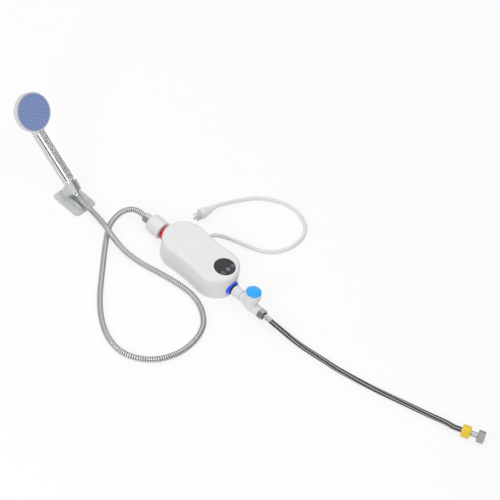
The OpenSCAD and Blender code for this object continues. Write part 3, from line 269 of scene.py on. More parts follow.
def mesh_of(name, shells):
    """Mesh of several grids. Each is (points, wrap rows, wrap columns, uv or None)."""
    points, quads, uvs, start = [], [], [], 0
    for grid, wrap_rows, wrap_columns, uv in shells:
        rows, columns = grid.shape[:2]
        corners, wide = grid_quads(rows, columns, wrap_rows, wrap_columns)
        points.append(grid.reshape(-1, 3))
        quads.append(corners + start)
        start += rows * columns
        if uv is None:
            uvs.append(np.zeros((corners.size, 2)))
        else:
            uvs.append(uv.reshape(-1, 2)[wide.ravel()])
    points, quads, uvs = np.concatenate(points), np.concatenate(quads), np.concatenate(uvs)
    mesh = bpy.data.meshes.new(name)
    mesh.vertices.add(len(points))
    mesh.vertices.foreach_set("co", points.astype(np.float32).ravel())
    mesh.loops.add(quads.size)
    mesh.loops.foreach_set("vertex_index", quads.astype(np.int32).ravel())
    mesh.polygons.add(len(quads))
    mesh.polygons.foreach_set("loop_start", np.arange(0, quads.size, 4, dtype=np.int32))
    layer = mesh.uv_layers.new(name="Surface")
    layer.data.foreach_set("uv", uvs.astype(np.float32).ravel())
    mesh.update(calc_edges=True)
    return mesh


def closed_up(mesh, crease):
    """Merges the points that meet at poles and seams, turns faces outwards and shades them."""
    work = bmesh.new()
    work.from_mesh(mesh)
    bmesh.ops.remove_doubles(work, verts=work.verts, dist=1e-7)
    bmesh.ops.recalc_face_normals(work, faces=work.faces)
    work.to_mesh(mesh)
    work.free()
    mesh.shade_smooth()
    mesh.set_sharp_from_angle(angle=math.radians(crease))
    mesh.update()
    return mesh


def piece(name, shells, material, body, replaces=(), crease=40.0):
    """Finished piece at the origin that moves with a body."""
    mesh = closed_up(mesh_of(name, shells), crease)
    mesh.materials.append(material)
    obj = bpy.data.objects.new(name, mesh)
    bpy.context.scene.collection.objects.link(obj)
    if body:
        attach(obj, body)
    if replaces:
        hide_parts(*replaces)
    return obj


def finish_node(node, material):
    """Gives a node of the frame its finish."""
    mesh = NODES[node].data
    mesh.materials.clear()
    mesh.materials.append(material)


# lines and tubes


def curve_through(points, leave, arrive, steps):
    """Catmull-Rom line through the points that leaves and arrives along given directions."""
    before = points[1] - 2.0 * np.linalg.norm(points[1] - points[0]) * leave
    after = points[-2] + 2.0 * np.linalg.norm(points[-1] - points[-2]) * arrive
    e = np.concatenate([[before], points, [after]])
    a, b, c, d = (e[k:len(e) - 3 + k, None, :] for k in range(4))
    t = np.linspace(0.0, 1.0, steps, endpoint=False)[None, :, None]
    spans = 0.5 * (
        2.0 * b + (c - a) * t + (2.0 * a - 5.0 * b + 4.0 * c - d) * t**2
        + (3.0 * b - a - 3.0 * c + d) * t**3
    )
    return np.concatenate([spans.reshape(-1, points.shape[1]), points[-1:]])


def route(start, leave, points, finish, arrive, straight):
    """Line from one fixed end to the other, straight for a while at each."""
    inner = np.concatenate([[start + straight * leave], points, [finish - straight * arrive]])
    return np.concatenate([[start], curve_through(inner, leave, arrive, 12), [finish]])


def running_length(line):
    """Length of the line up to each point: the running sum of its steps."""
    return np.concatenate([[0.0], np.cumsum(np.linalg.norm(np.diff(line, axis=0), axis=1))])


def along(line, stations):
    """Points of a line at running lengths."""
    s = running_length(line)
    return np.stack([np.interp(stations, s, line[:, k]) for k in range(3)], -1)


def tube(line, stations, radii, sides):
    """Rings round a line, square to it: centre + r (side cos t + up sin t). Radii are (stations, sides)."""
    step = 0.5 * MM
    centre = along(line, stations)
    total = running_length(line)[-1]
    ahead = along(line, np.clip(stations + step, 0.0, total))
    behind = along(line, np.clip(stations - step, 0.0, total))
    heading = unit(ahead - behind)
    side = unit(np.cross(heading, Z_AXIS))
    up = np.cross(side, heading)
    t = np.linspace(0.0, 2.0 * np.pi, sides, endpoint=False)
    spokes = side[:, None, :] * np.cos(t)[:, None] + up[:, None, :] * np.sin(t)[:, None]
    return centre[:, None, :] + radii[:, :, None] * spokes


def tube_uv(stations, sides, around):
    """UV of a tube: running length in metres, and turns times a count round it."""
    v = np.linspace(0.0, around, sides + 1)
    return np.stack(np.broadcast_arrays(stations[:, None], v[None, :]), -1)


def hose_shell(line, stations, radii, bore_r, bore_step, sides):
    """Tube with a bore: the rings run out along the outside and back along the bore."""
    total = running_length(line)[-1]
    back = np.linspace(total, 0.0, max(2, int(total / bore_step)))
    outside = tube(line, stations, radii, sides)
    inside = tube(line, back, np.full((len(back), sides), bore_r), sides)
    rows = np.concatenate([stations, back, stations[:1]])
    return np.concatenate([outside, inside]), True, True, tube_uv(rows, sides, 1.0)


def cord_shell(line, rings, radius, sides):
    """Solid round cord, closed to a point at the middle of each end."""
    total = running_length(line)[-1]
    stations = np.concatenate([[0.0], np.linspace(0.0, total, rings), [total]])
    radii = np.full((rings + 2, sides), radius)
    radii[[0, -1]] = 0.0
    return tube(line, stations, radii, sides), False, True, tube_uv(stations, sides, 1.0)


def turned(profile, sides, radius=None):
    """Profile of (radius, height) rows carried round z: (r cos t, r sin t, h).

    radius, where given, works out the radius from (r, h, t)."""
    t = np.linspace(0.0, 2.0 * np.pi, sides, endpoint=False)[None, :]
    r, h = profile[:, :1], profile[:, 1:]
    r = np.broadcast_to(r, (len(profile), sides)) if radius is None else radius(r, h, t)
    return np.stack(np.broadcast_arrays(r * np.cos(t), r * np.sin(t), h), -1)


def rounded(corners, reach, count=6):
    """Closed profile with eased corners: at each, the curve (1-t)^2 a + 2t(1-t) p + t^2 b, where a and b
    lie on the two edges, up to reach from the corner p."""
    p = np.asarray(corners, float)
    reach = np.broadcast_to(reach, len(p))[:, None]
    back, ahead = np.roll(p, 1, 0) - p, np.roll(p, -1, 0) - p
    back_l = np.linalg.norm(back, axis=1, keepdims=True)
    ahead_l = np.linalg.norm(ahead, axis=1, keepdims=True)
    a = (p + back / back_l * np.minimum(reach, 0.48 * back_l))[:, None]
    b = (p + ahead / ahead_l * np.minimum(reach, 0.48 * ahead_l))[:, None]
    t = np.linspace(0.0, 1.0, count)[None, :, None]
    return ((1.0 - t) ** 2 * a + 2.0 * t * (1.0 - t) * p[:, None] + t**2 * b).reshape(-1, 2)


def polygon_radius(count, flat, sharpness, inner, turn=0.0):
    """Radius rule of a blank with flats: the soft least of the blank's own radius and the distance to the
    nearest flat, flat / cos a, with a corner at t = turn; points inside the inner radius stay round."""

    def radius(r, h, t):
        step = 2.0 * np.pi / count
        facet = flat / np.cos((t - turn) % step - step / 2.0)
        soft = (np.maximum(r, 1e-6) ** -sharpness + facet**-sharpness) ** (-1.0 / sharpness)
        return np.where(r > inner, soft, np.broadcast_to(r, soft.shape))

    return radius


def dense(profile, step, closed=True):
    """Profile with further points, so that none of its edges is longer than a step."""
    loop = np.concatenate([profile, profile[:1]]) if closed else profile
    s = running_length(loop)
    keep = np.concatenate([[True], np.diff(s) > 1e-9])
    stations = np.unique(np.concatenate([s[keep], np.arange(0.0, s[-1], step)]))
    stations = stations[:-1] if closed else stations
    return np.stack([np.interp(stations, s, loop[:, k]) for k in range(2)], -1)


def ring_shell(profile, place, sides, radius=None):
    """Closed profile carried round its axis."""
    return placed(turned(profile, sides, radius), place), True, True, None


def solid_shell(profile, place, sides, radius=None):
    """Profile from axis to axis carried round it."""
    return placed(turned(profile, sides, radius), place), False, True, None


def low_high(node, axis):
    """Least and greatest coordinate of a node along one axis."""
    low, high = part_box(node)
    return low[axis], high[axis]


def outlet_place(node):
    """Frame at a node's end nearest the heater, with z out of the hot outlet."""
    return local_frame((low_high(node, 0)[1], 0.0, PORT_Z), -X_AXIS, Z_AXIS)


def inlet_place(node):
    """Frame at a node's end nearest the heater, with z out of the cold inlet."""
    return local_frame((low_high(node, 0)[0], 0.0, PORT_Z), X_AXIS, Z_AXIS)


def supply_place(node):
    """Frame at a node's end nearest the heater, with z out of the valve's leg."""
    return local_frame((low_high(node, 0)[0], 0.0, SUPPLY_Z), X_AXIS, Z_AXIS)


def far_place(distance):
    """Frame at a distance along the far end of the supply hose."""
    return local_frame(FAR_AT + distance * FAR_DIR, FAR_DIR, Z_AXIS)


def gland_place():
    """Where the gland's axis meets the middle of its box."""
    low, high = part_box("cord_gland")
    return (np.array(low) + np.array(high)) / 2.0


def cut(obj, shells, operation):
    """Joins a closed form to a piece, or takes it away, and keeps the result in the piece's mesh."""
    tool = bpy.data.objects.new("tool", closed_up(mesh_of("tool", shells), 40.0))
    bpy.context.scene.collection.objects.link(tool)
    change = obj.modifiers.new("cut", "BOOLEAN")
    change.operation, change.object, change.solver = operation, tool, "EXACT"
    result = bpy.data.meshes.new_from_object(obj.evaluated_get(bpy.context.evaluated_depsgraph_get()))
    obj.modifiers.clear()
    old, obj.data = obj.data, result
    result.name = obj.name
    bpy.data.meshes.remove(old)
    bpy.data.objects.remove(tool)
    result.shade_smooth()
    result.set_sharp_from_angle(angle=math.radians(32.0))


# shader nodes and finishes

NOISE_ROUGHNESS = 0.55


class Finish:
    """One material's node tree, with short ways to add and link its nodes."""

    def __init__(self, name):
        self.material = bpy.data.materials.new(name)
        self.material.use_nodes = True
        self.tree = self.material.node_tree
        self.shader = self.tree.nodes["Principled BSDF"]

    def add(self, kind, **settings):
        node = self.tree.nodes.new("ShaderNode" + kind)
        for key, value in settings.items():
            setattr(node, key, value)
        return node

    def link(self, source, socket):
        self.tree.links.new(source, socket)

    def feed(self, socket, value):
        """Links a socket, or sets a plain value on it."""
        if isinstance(value, bpy.types.NodeSocket):
            self.link(value, socket)
        else:
            socket.default_value = value

    def set(self, **values):
        """Sets or links the shader's sockets by name."""
        for key, value in values.items():
            self.feed(self.shader.inputs[key.replace("_", " ").title()], value)

    def place(self):
        return self.add("TexCoord").outputs["Object"]

    def surface(self):
        return self.add("UVMap", uv_map="Surface").outputs["UV"]

    def attribute(self, name):
        return self.add("Attribute", attribute_name=name).outputs["Fac"]

    def stretched(self, vector, scale):
        node = self.add("Mapping")
        self.link(vector, node.inputs["Vector"])
        node.inputs["Scale"].default_value = scale
        return node.outputs["Vector"]

    def noise(self, vector, scale, detail):
        node = self.add("TexNoise")
        self.link(vector, node.inputs["Vector"])
        node.inputs["Scale"].default_value = scale
        node.inputs["Detail"].default_value = detail
        node.inputs["Roughness"].default_value = NOISE_ROUGHNESS
        return node.outputs["Fac"]

    def math(self, operation, a, b):
        node = self.add("Math", operation=operation)
        for socket, value in zip(node.inputs, (a, b)):
            self.feed(socket, value)
        return node.outputs["Value"]

    def between(self, value, low, high, to_low=0.0, to_high=1.0):
        node = self.add("MapRange")
        self.link(value, node.inputs["Value"])
        node.inputs["From Min"].default_value = low
        node.inputs["From Max"].default_value = high
        node.inputs["To Min"].default_value = to_low
        node.inputs["To Max"].default_value = to_high
        return node.outputs["Result"]

    def mix(self, factor, a, b):
        node = self.add("Mix", data_type="RGBA")
        self.feed(node.inputs["Factor"], factor)
        self.feed(node.inputs["A"], a)
        self.feed(node.inputs["B"], b)
        return node.outputs["Result"]

    def bump(self, height, distance):
        node = self.add("Bump")
        self.link(height, node.inputs["Height"])
        node.inputs["Distance"].default_value = distance
        node.inputs["Strength"].default_value = 1.0
        self.link(node.outputs["Normal"], self.shader.inputs["Normal"])


def shade(colour, factor):
    """Colour with an alpha, lighter or darker by a factor."""
    return (*(min(1.0, c * factor) for c in colour), 1.0)


def moulded(name, colour, roughness=0.42, grain=2600.0, depth=0.00002, variety=0.035):
    """Injection moulded plastic: even colour with a faint drift, fine grain and handled patches."""
    f = Finish(name)
    place = f.place()
    drift = f.noise(place, 26.0, 4.0)
    f.set(base_color=f.mix(f.between(drift, 0.3, 0.7), shade(colour, 1.0 - variety), shade(colour, 1.0)))
    patches = f.noise(place, 85.0, 5.0)
    f.set(roughness=f.between(patches, 0.25, 0.75, roughness - 0.06, roughness + 0.06))
    f.bump(f.noise(place, grain, 2.0), depth)
    return f


def shared(name, make, *values):
    """Finish that several pieces share, made the first time it is asked for."""
    return bpy.data.materials.get(name) or make(name, *values)


def white_moulding(name, colours):
    return moulded(name, colours.white).material


def glossy_moulding(name, colour):
    """Coloured plastic with a polished skin."""
    f = moulded(name, colour, 0.26, 1800.0, 0.000012, 0.08)
    f.shader.inputs["Coat Weight"].default_value = 0.25
    f.shader.inputs["Coat Roughness"].default_value = 0.12
    return f.material


def soft_rubber(name, colour):
    """Matt rubber with a dusty grain."""
    return moulded(name, colour, 0.68, 2200.0, 0.00004, 0.25).material


def cord_jacket(colours):
    """Soft jacket: the threads laid under it show as long shallow waves."""
    f = moulded("cord jacket", colours.cord, 0.5, 1500.0, 0.00002)
    along_cord = f.stretched(f.surface(), (60.0, 3.0, 1.0))
    f.bump(f.noise(along_cord, 3.0, 3.0), 0.00012)
    return f.material


def metal(name, colour, roughness, smudge, scratch, stretch):
    """Plated or drawn metal: fine lines one way and soft smudges in the gloss."""
    f = Finish(name)
    place = f.place()
    f.shader.inputs["Metallic"].default_value = 1.0
    tone = f.noise(place, 60.0, 4.0)
    f.set(base_color=f.mix(tone, shade(colour, 0.93), shade(colour, 1.0)))
    rubbed = f.noise(place, 140.0, 6.0)
    f.set(roughness=f.between(rubbed, 0.3, 0.7, max(0.02, roughness - smudge), roughness + smudge))
    f.bump(f.noise(f.stretched(place, stretch), 1.0, 3.0), scratch)
    return f


def chrome_plate(name, colours):
    return metal(name, colours.chrome, 0.12, 0.02, 0.0000004, (300.0, 300.0, 300.0)).material


def polished_chrome(name, colours):
    return metal(name, colours.cone, 0.14, 0.03, 0.0000004, (300.0, 300.0, 300.0)).material


def drawn_steel(name, colours):
    return metal(name, colours.steel, 0.44, 0.06, 0.00001, (2600.0, 400.0, 400.0)).material


def rolled_strip(colours):
    """Strip of the ribbed hose: darker in its seams, where the metal is hidden from the light."""
    f = metal("rolled strip", colours.hose, 0.34, 0.06, 0.000006, (700.0, 700.0, 700.0))
    seam = f.attribute("seam")
    f.set(base_color=f.mix(seam, shade(colours.hose, 1.0), shade(colours.hose, 0.22)))
    return f.material


def woven_braid(colours):
    """Dark braid with light threads that pass over and under along the hose. Both are darker in the
    weave's hollows, as painted shade, and the light threads' stripes are in part painted highlight.
    """
    f = Finish("woven braid")
    lift = f.attribute("lift")
    light = f.attribute("light")
    # painted shade: the dark and the light threads fall to 0.35 and 0.6 of their colour where the lift is
    # low, in the weave's hollows
    dark = f.mix(lift, shade(colours.braid, 0.35), shade(colours.braid, 1.3))
    thread = f.mix(lift, shade(colours.thread, 0.6), shade(colours.thread, 1.0))
    # the light mask lays the light threads in stripes that are in part painted highlight
    f.set(base_color=f.mix(light, dark, thread))
    fine = f.noise(f.stretched(f.surface(), (2400.0, 240.0, 1.0)), 1.0, 4.0)
    f.set(roughness=f.between(fine, 0.3, 0.7, 0.38, 0.55))
    f.bump(fine, 0.00006)
    return f.material


def clear_plastic(colours):
    """Cloudy clear plastic that lets some of the light through."""
    f = moulded("clear plastic", colours.clear, 0.30, 1600.0, 0.00003, 0.05)
    f.shader.inputs["Transmission Weight"].default_value = 0.2
    f.shader.inputs["IOR"].default_value = 1.46
    return f.material


def nut_steel(name, colours):
    """Nickelled steel of the hexagon nuts, a little darker and crisper than the drawn steel."""
    return metal(name, colours.nut, 0.38, 0.05, 0.000004, (500.0, 500.0, 500.0)).material


def polished_pins(colours):
    return metal("polished pins", colours.pins, 0.38, 0.04, 0.000004, (400.0, 400.0, 400.0)).material


def touch_print(name, colours):
    return moulded(name, colours.mark, 0.5, 1200.0, 0.000004, 0.1).material


def smoked_lens(colours):
    """Smoked acrylic with a satin face."""
    f = moulded("smoked lens", colours.lens, 0.34, 900.0, 0.000004, 0.2)
    f.shader.inputs["Specular IOR Level"].default_value = 0.35
    return f.material


def board_resist(colours):
    return moulded("solder resist", colours.board, 0.35, 1200.0, 0.00003, 0.3).material


def machined_brass(colours):
    return metal("machined brass", colours.brass, 0.28, 0.06, 0.00002, (2600.0, 300.0, 300.0)).material


# operators: the stage, then one for each piece or group of like pieces


class KIT_OT_stage(bpy.types.Operator):
    """Pale floor, soft studio light and the camera"""

    bl_idname = "heater_kit.stage"
    bl_label = "Studio"

    # name, place, aim, diameter in metres and power in watts
    lamps = (
        ("key light", (0.15, 0.05, 2.5), (0.0, 0.0, 0.0), 1.7, 13.0),
        ("front light", (0.5, -2.4, 1.5), (-0.1, -0.05, 0.0), 1.1, 25.0),
        ("side light", (-2.2, -0.9, 1.2), (-0.1, 0.0, 0.0), 2.0, 11.0),
        ("end light", (2.4, -0.7, 1.2), (0.1, 0.0, 0.0), 1.8, 7.0),
        ("back light", (-1.3, 2.2, 1.6), (0.0, 0.1, 0.0), 1.8, 14.0),
    )
    # height on the ramp, and grey level there
    middle_levels = ((0.26, 0.06), (0.46, 0.26), (0.70, 0.60))
    floor_drop = 0.2 * MM
    floor_glow = 0.80
    sensor_width = 36.0

    def execute(self, context):
        studio = context.scene.kit_studio
        self.floor(studio)
        self.world(context.scene)
        for lamp in self.lamps:
            self.lamp(*lamp)
        self.camera(context.scene, studio)
        context.scene.view_settings.view_transform = "Standard"
        return {"FINISHED"}

    def floor(self, studio):
        half = studio.floor_size / 2.0
        across = np.linspace(-half, half, 3)
        grid = np.stack(np.meshgrid(across, across, [0.0], indexing="ij"), -1)[:, :, 0]
        floor = piece("floor", [(grid, False, False, None)], self.floor_finish(studio), None)
        floor.data.transform(Matrix.Translation((0.0, 0.0, -self.floor_drop)))

    def floor_finish(self, studio):
        """Pale floor: seen and mirrored near white, with the object's shadow kept in it."""
        f = Finish("pale floor")
        f.set(base_color=shade(studio.floor_colour, 1.0), roughness=0.9)
        f.shader.inputs["Specular IOR Level"].default_value = 0.1
        path = f.add("LightPath")
        seen = f.math("ADD", path.outputs["Is Camera Ray"], path.outputs["Is Glossy Ray"])
        seen = f.math("ADD", seen, path.outputs["Is Transmission Ray"])
        glow = f.add("Emission")
        glow.inputs["Color"].default_value = (1.0, 1.0, 1.0, 1.0)
        share = f.math("MULTIPLY", f.math("MINIMUM", seen, 1.0), self.floor_glow)
        blend = f.add("MixShader")
        f.feed(blend.inputs["Fac"], share)
        f.link(f.shader.outputs["BSDF"], blend.inputs[1])
        f.link(glow.outputs["Emission"], blend.inputs[2])
        f.link(blend.outputs["Shader"], f.tree.nodes["Material Output"].inputs["Surface"])
        return f.material

    def world(self, scene):
        """Soft light from all round, darker low down so that metal has something to mirror."""
        world = bpy.data.worlds.new("studio")
        scene.world = world
        world.use_nodes = True
        tree = world.node_tree
        coords = tree.nodes.new("ShaderNodeTexCoord")
        split = tree.nodes.new("ShaderNodeSeparateXYZ")
        ramp = tree.nodes.new("ShaderNodeValToRGB")
        tree.links.new(coords.outputs["Generated"], split.inputs["Vector"])
        tree.links.new(split.outputs["Z"], ramp.inputs["Fac"])
        tree.links.new(ramp.outputs["Color"], tree.nodes["Background"].inputs["Color"])
        stops = ramp.color_ramp.elements
        stops[0].position, stops[0].color = 0.0, (0.05, 0.05, 0.052, 1.0)
        stops[1].position, stops[1].color = 1.0, (0.75, 0.75, 0.76, 1.0)
        for place, level in self.middle_levels:
            stop = stops.new(place)
            stop.color = (level, level, level, 1.0)

    def lamp(self, name, at, aim, size, power):
        light = bpy.data.lights.new(name, "AREA")
        light.shape, light.size, light.energy = "DISK", size, power
        lamp = bpy.data.objects.new(name, light)
        lamp.location = at
        lamp.rotation_euler = (Vector(aim) - Vector(at)).to_track_quat("-Z", "Y").to_euler()
        bpy.context.scene.collection.objects.link(lamp)

    def camera(self, scene, studio):
        a, e = studio.azimuth, studio.elevation
        back = Vector((math.sin(a) * math.cos(e), -math.cos(a) * math.cos(e), math.sin(e)))
        data = bpy.data.cameras.new("camera")
        data.lens, data.sensor_width = studio.lens, self.sensor_width
        camera = bpy.data.objects.new("camera", data)
        turn = (-back).to_track_quat("-Z", "Y").to_matrix() @ Matrix.Rotation(studio.roll, 3, "Z")
        camera.matrix_world = (
            Matrix.Translation(Vector(studio.target) + back * studio.distance) @ turn.to_4x4()
        )
        scene.collection.objects.link(camera)
        scene.camera = camera


class KIT_OT_shower_hose(bpy.types.Operator):
    """Ribbed steel hose from the outlet to the hand shower"""

    bl_idname = "heater_kit.shower_hose"
    bl_label = "Shower hose"

    sides = 28
    rings_per_rib = 8
    seam_fade = 6.0 * MM

    def execute(self, context):
        sizes = context.scene.kit_hoses
        start = np.array([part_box("hose_tail")[0].x, 0.0, PORT_Z])
        finish = HAND_AT - CONE_TAIL_OUT * HAND_DIR
        line = route(start, -X_AXIS, SHOWER_POINTS, finish, HAND_DIR, sizes.shower_d)
        total = running_length(line)[-1]
        ribs = round(total / sizes.rib_pitch)
        stations = np.linspace(0.0, total, ribs * self.rings_per_rib + 1)
        seam = self.seam(stations, ribs / total, total)
        radii = sizes.shower_d / 2.0 - sizes.rib_depth * seam
        shell = hose_shell(line, stations, radii, sizes.shower_bore / 2.0, HOSE_BORE_STEP, self.sides)
        hose = piece("shower_hose_ribbed", [shell], rolled_strip(context.scene.kit_colours), None,
                     ["shower_hose"], 60.0)
        depth = np.zeros(len(hose.data.vertices), np.float32)
        depth[:seam.size] = seam.ravel()
        hose.data.attributes.new("seam", "FLOAT", "POINT").data.foreach_set("value", depth)
        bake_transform(hose)
        return {"FINISHED"}

    def seam(self, stations, ribs_per_metre, total):
        """Narrow seam that winds round the hose once in each rib, fading out at both ends:
        (0.5 + 0.5 cos 2 pi (n s + t))^2, with n ribs to a metre and t the share of a turn."""
        t = np.linspace(0.0, 1.0, self.sides, endpoint=False)[None, :]
        turn = stations[:, None] * ribs_per_metre + t
        fade = smooth(stations, 0.0, self.seam_fade) * smooth(total - stations, 0.0, self.seam_fade)
        return (0.5 + 0.5 * np.cos(2.0 * np.pi * turn)) ** 2 * fade[:, None]


class KIT_OT_supply_hose(bpy.types.Operator):
    """Black braided hose from the valve to the end nut"""

    bl_idname = "heater_kit.supply_hose"
    bl_label = "Supply hose"

    sides = 72
    ring_step = 0.75 * MM
    # stripes and dashes of the light threads, which are in part painted highlight
    stripes = 6
    stripe_lead = 1.43
    dash = 3.6 * MM
    dash_share = 0.4
    braid_fade = 2.0 * MM

    def execute(self, context):
        sizes = context.scene.kit_hoses
        start = np.array([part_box("supply_ferrule")[1].x, 0.0, SUPPLY_Z])
        line = route(start, X_AXIS, SUPPLY_POINTS, FAR_AT, FAR_DIR, sizes.supply_d)
        total = running_length(line)[-1]
        stations = np.linspace(0.0, total, int(total / self.ring_step))
        lift, light = self.braid(stations, sizes)
        fade = smooth(stations, 0.0, self.braid_fade) * smooth(total - stations, 0.0, self.braid_fade)
        radii = sizes.supply_d / 2.0 - sizes.braid_depth * (1.0 - lift * fade[:, None])
        shell = hose_shell(line, stations, radii, sizes.supply_bore / 2.0, HOSE_BORE_STEP, self.sides)
        hose = piece("supply_hose_braided", [shell], woven_braid(context.scene.kit_colours), "heater",
                     ["supply_hose"], 70.0)
        # lift also paints shade into the braid's colour in the weave's hollows; light marks the light
        # threads, in part painted highlight
        for name, values in (("lift", lift), ("light", light)):
            data = np.zeros(len(hose.data.vertices), np.float32)
            data[:values.size] = values.ravel()
            hose.data.attributes.new(name, "FLOAT", "POINT").data.foreach_set("value", data)
        return {"FINISHED"}

    def braid(self, stations, sizes):
        """Fine over-and-under weave, the product of two waves that wind opposite ways; light threads where
        cos 6a + 0.4 cos b is high, with a the angle plus a slow turn along the hose and b a wave that
        passes once in each dash and three times round the hose. The light threads are in part painted
        highlight: their dashed stripes run nearly straight along the hose, where its gloss catches the
        light."""
        t = np.linspace(0.0, 1.0, self.sides, endpoint=False)[None, :]
        s = stations[:, None]
        turn = s / sizes.braid_lead
        wind = np.pi * sizes.braid_strands
        weave = np.sin(wind * (t + turn)) * np.sin(wind * (t - turn))
        # painted highlight in part: the light threads gather in six nearly straight, slowly turning stripes
        # where the hose's gloss catches the light
        stripe = np.cos(2.0 * np.pi * self.stripes * (t + s / self.stripe_lead))
        dash = np.cos(2.0 * np.pi * (s / self.dash + self.stripes * t / 2.0))
        light = smooth(stripe + self.dash_share * dash, 0.1, 0.7)
        return np.broadcast_to(np.clip(np.abs(weave) * 1.4, 0.0, 1.0), light.shape), light


class KIT_OT_power_cord(bpy.types.Operator):
    """Round white cord from the gland to the plug"""

    bl_idname = "heater_kit.power_cord"
    bl_label = "Power cord"

    rings = 280
    sides = 32
    straight = 4.0 * MM

    def execute(self, context):
        sizes = context.scene.kit_hoses
        gland = gland_place()
        start = np.array([gland[0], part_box("cord_gland")[1].y, gland[2]])
        line = route(start, Y_AXIS, POWER_POINTS, PLUG_AT - PLUG_L * PLUG_DIR, PLUG_DIR, self.straight)
        shell = cord_shell(line, self.rings, sizes.cord_d / 2.0, self.sides)
        cord = piece("power_cord_round", [shell], cord_jacket(context.scene.kit_colours), "heater",
                     ["power_cord"], 60.0)
        return {"FINISHED"}


class KIT_OT_hand_nut(bpy.types.Operator):
    """White hand nut of the hot outlet, with eight soft facets"""

    bl_idname = "heater_kit.hand_nut"
    bl_label = "Hand nut"

    facets = 8
    flat_share = 0.955
    step_share = 0.70
    sharpness = 26.0

    def execute(self, context):
        s = context.scene.kit_fittings
        white = shared("white moulding", white_moulding, context.scene.kit_colours)
        low, high = low_high("union_nut", 0)
        long = high - low - s.union_male
        r, mouth = s.union_d / 2.0, s.thread_r + s.turn_gap
        step_r = self.step_share * r
        corners = [
            (mouth, 0.0), (r, 0.0), (r, long - s.union_step), (step_r, long - s.union_step),
            (step_r, long), (s.thread_r, long), (s.thread_r, long + s.union_male),
            (s.water_bore, long + s.union_male), (s.water_bore, s.union_seat), (mouth, s.union_seat),
        ]
        reach = MM * np.array([0.3, 6.5, 7.0, 0.8, 1.4, 0.3, 0.6, 0.3, 0.2, 0.2])
        rule = polygon_radius(self.facets, self.flat_share * r, self.sharpness, 0.75 * r)
        profile = dense(rounded(corners, reach, 9), 1.5 * MM)
        piece("hand_nut", [ring_shell(profile, outlet_place("union_nut"), 160, rule)], white, "union",
              ["union_nut"], 35.0)
        return {"FINISHED"}


class KIT_OT_hex_nuts(bpy.types.Operator):
    """Hexagon nuts of the hoses and the yellow grip"""

    bl_idname = "heater_kit.hex_nuts"
    bl_label = "Hexagon nuts"

    sides = 144
    half_facet = math.pi / 6.0
    end_l = 16.0 * MM
    grip_l = 20.0 * MM
    grip_flat_share = 0.918
    # heights above the mouth at which each bore steps in, and the radii there
    hose_seat = 13.9 * MM
    supply_seat = 9.9 * MM
    end_thread = 8.2 * MM
    end_seat = 12.5 * MM
    tail_bore = 7.4 * MM
    ferrule_bore = 6.4 * MM
    flange_room = 10.2 * MM

    def execute(self, context):
        s, c = context.scene.kit_fittings, context.scene.kit_colours
        mouth = s.thread_r + s.turn_gap
        steel = shared("nut steel", nut_steel, c)
        bright = shared("drawn steel", drawn_steel, c)
        yellow = shared("grip yellow", glossy_moulding, c.yellow)
        low, high = low_high("hose_nut", 0)
        steps = [(mouth, self.hose_seat), (self.tail_bore, self.hose_seat)]
        self.nut("hose_nut_hex", "hose_nut", "hose_coupler", outlet_place("hose_nut"), bright, "chrome",
                 s.hose_af, high - low, steps, self.half_facet)
        low, high = low_high("supply_nut", 0)
        steps = [(mouth, self.supply_seat), (self.ferrule_bore, self.supply_seat)]
        self.nut("supply_nut_hex", "supply_nut", "supply_coupler", supply_place("supply_nut"), steel,
                 "steel", s.hose_af, high - low, steps, self.half_facet)
        steps = [(mouth, self.end_thread), (self.flange_room, self.end_thread),
                 (self.flange_room, self.end_seat), (self.ferrule_bore, self.end_seat)]
        place = local_frame(far_place(s.end_start + self.end_l)[0], -FAR_DIR, Z_AXIS)
        self.nut("end_nut_hex", "end_nut", "end_coupler", place, steel, "steel", s.end_af, self.end_l, steps)
        self.grip(s, yellow)
        return {"FINISHED"}

    def nut(self, name, node, body, place, material, slot, across, long, inside, turn=0.0):
        """Hexagon with turned chamfers; inside lists the steps of its bore from the mouth inwards."""
        corner = across / 2.0 / math.cos(self.half_facet)
        bevel = corner - across / 2.0
        chamfer = 0.55 * bevel
        corners = [
            (inside[0][0], 0.0), (corner - bevel, 0.0), (corner, chamfer), (corner, long - chamfer),
            (corner - bevel, long), (inside[-1][0], long), *reversed(inside),
        ]
        reach = MM * np.array([0.3, 0.2, 0.3, 0.3, 0.2, 0.3] + [0.15] * len(inside))
        rule = polygon_radius(6, across / 2.0, 90.0, inside[0][0] + 0.4 * MM, turn)
        profile = dense(rounded(corners, reach, 4), 0.5 * MM)
        piece(name, [ring_shell(profile, place, self.sides, rule)], material, body, [node], 24.0)

    def grip(self, s, material):
        """Grip with six soft flats and round ends."""
        long, r, bore = self.grip_l, s.grip_d / 2.0, 6.9 * MM
        corners = [(bore, 0.0), (r, 0.0), (r, long), (bore, long)]
        rule = polygon_radius(6, self.grip_flat_share * r, 30.0, bore + 1.0 * MM)
        profile = dense(rounded(corners, MM * np.array([0.3, 4.2, 4.2, 0.3]), 10), 1.0 * MM)
        shell = ring_shell(profile, far_place(s.grip_start), self.sides, rule)
        piece("supply_grip_soft", [shell], material, "grip", ["supply_grip"], 35.0)


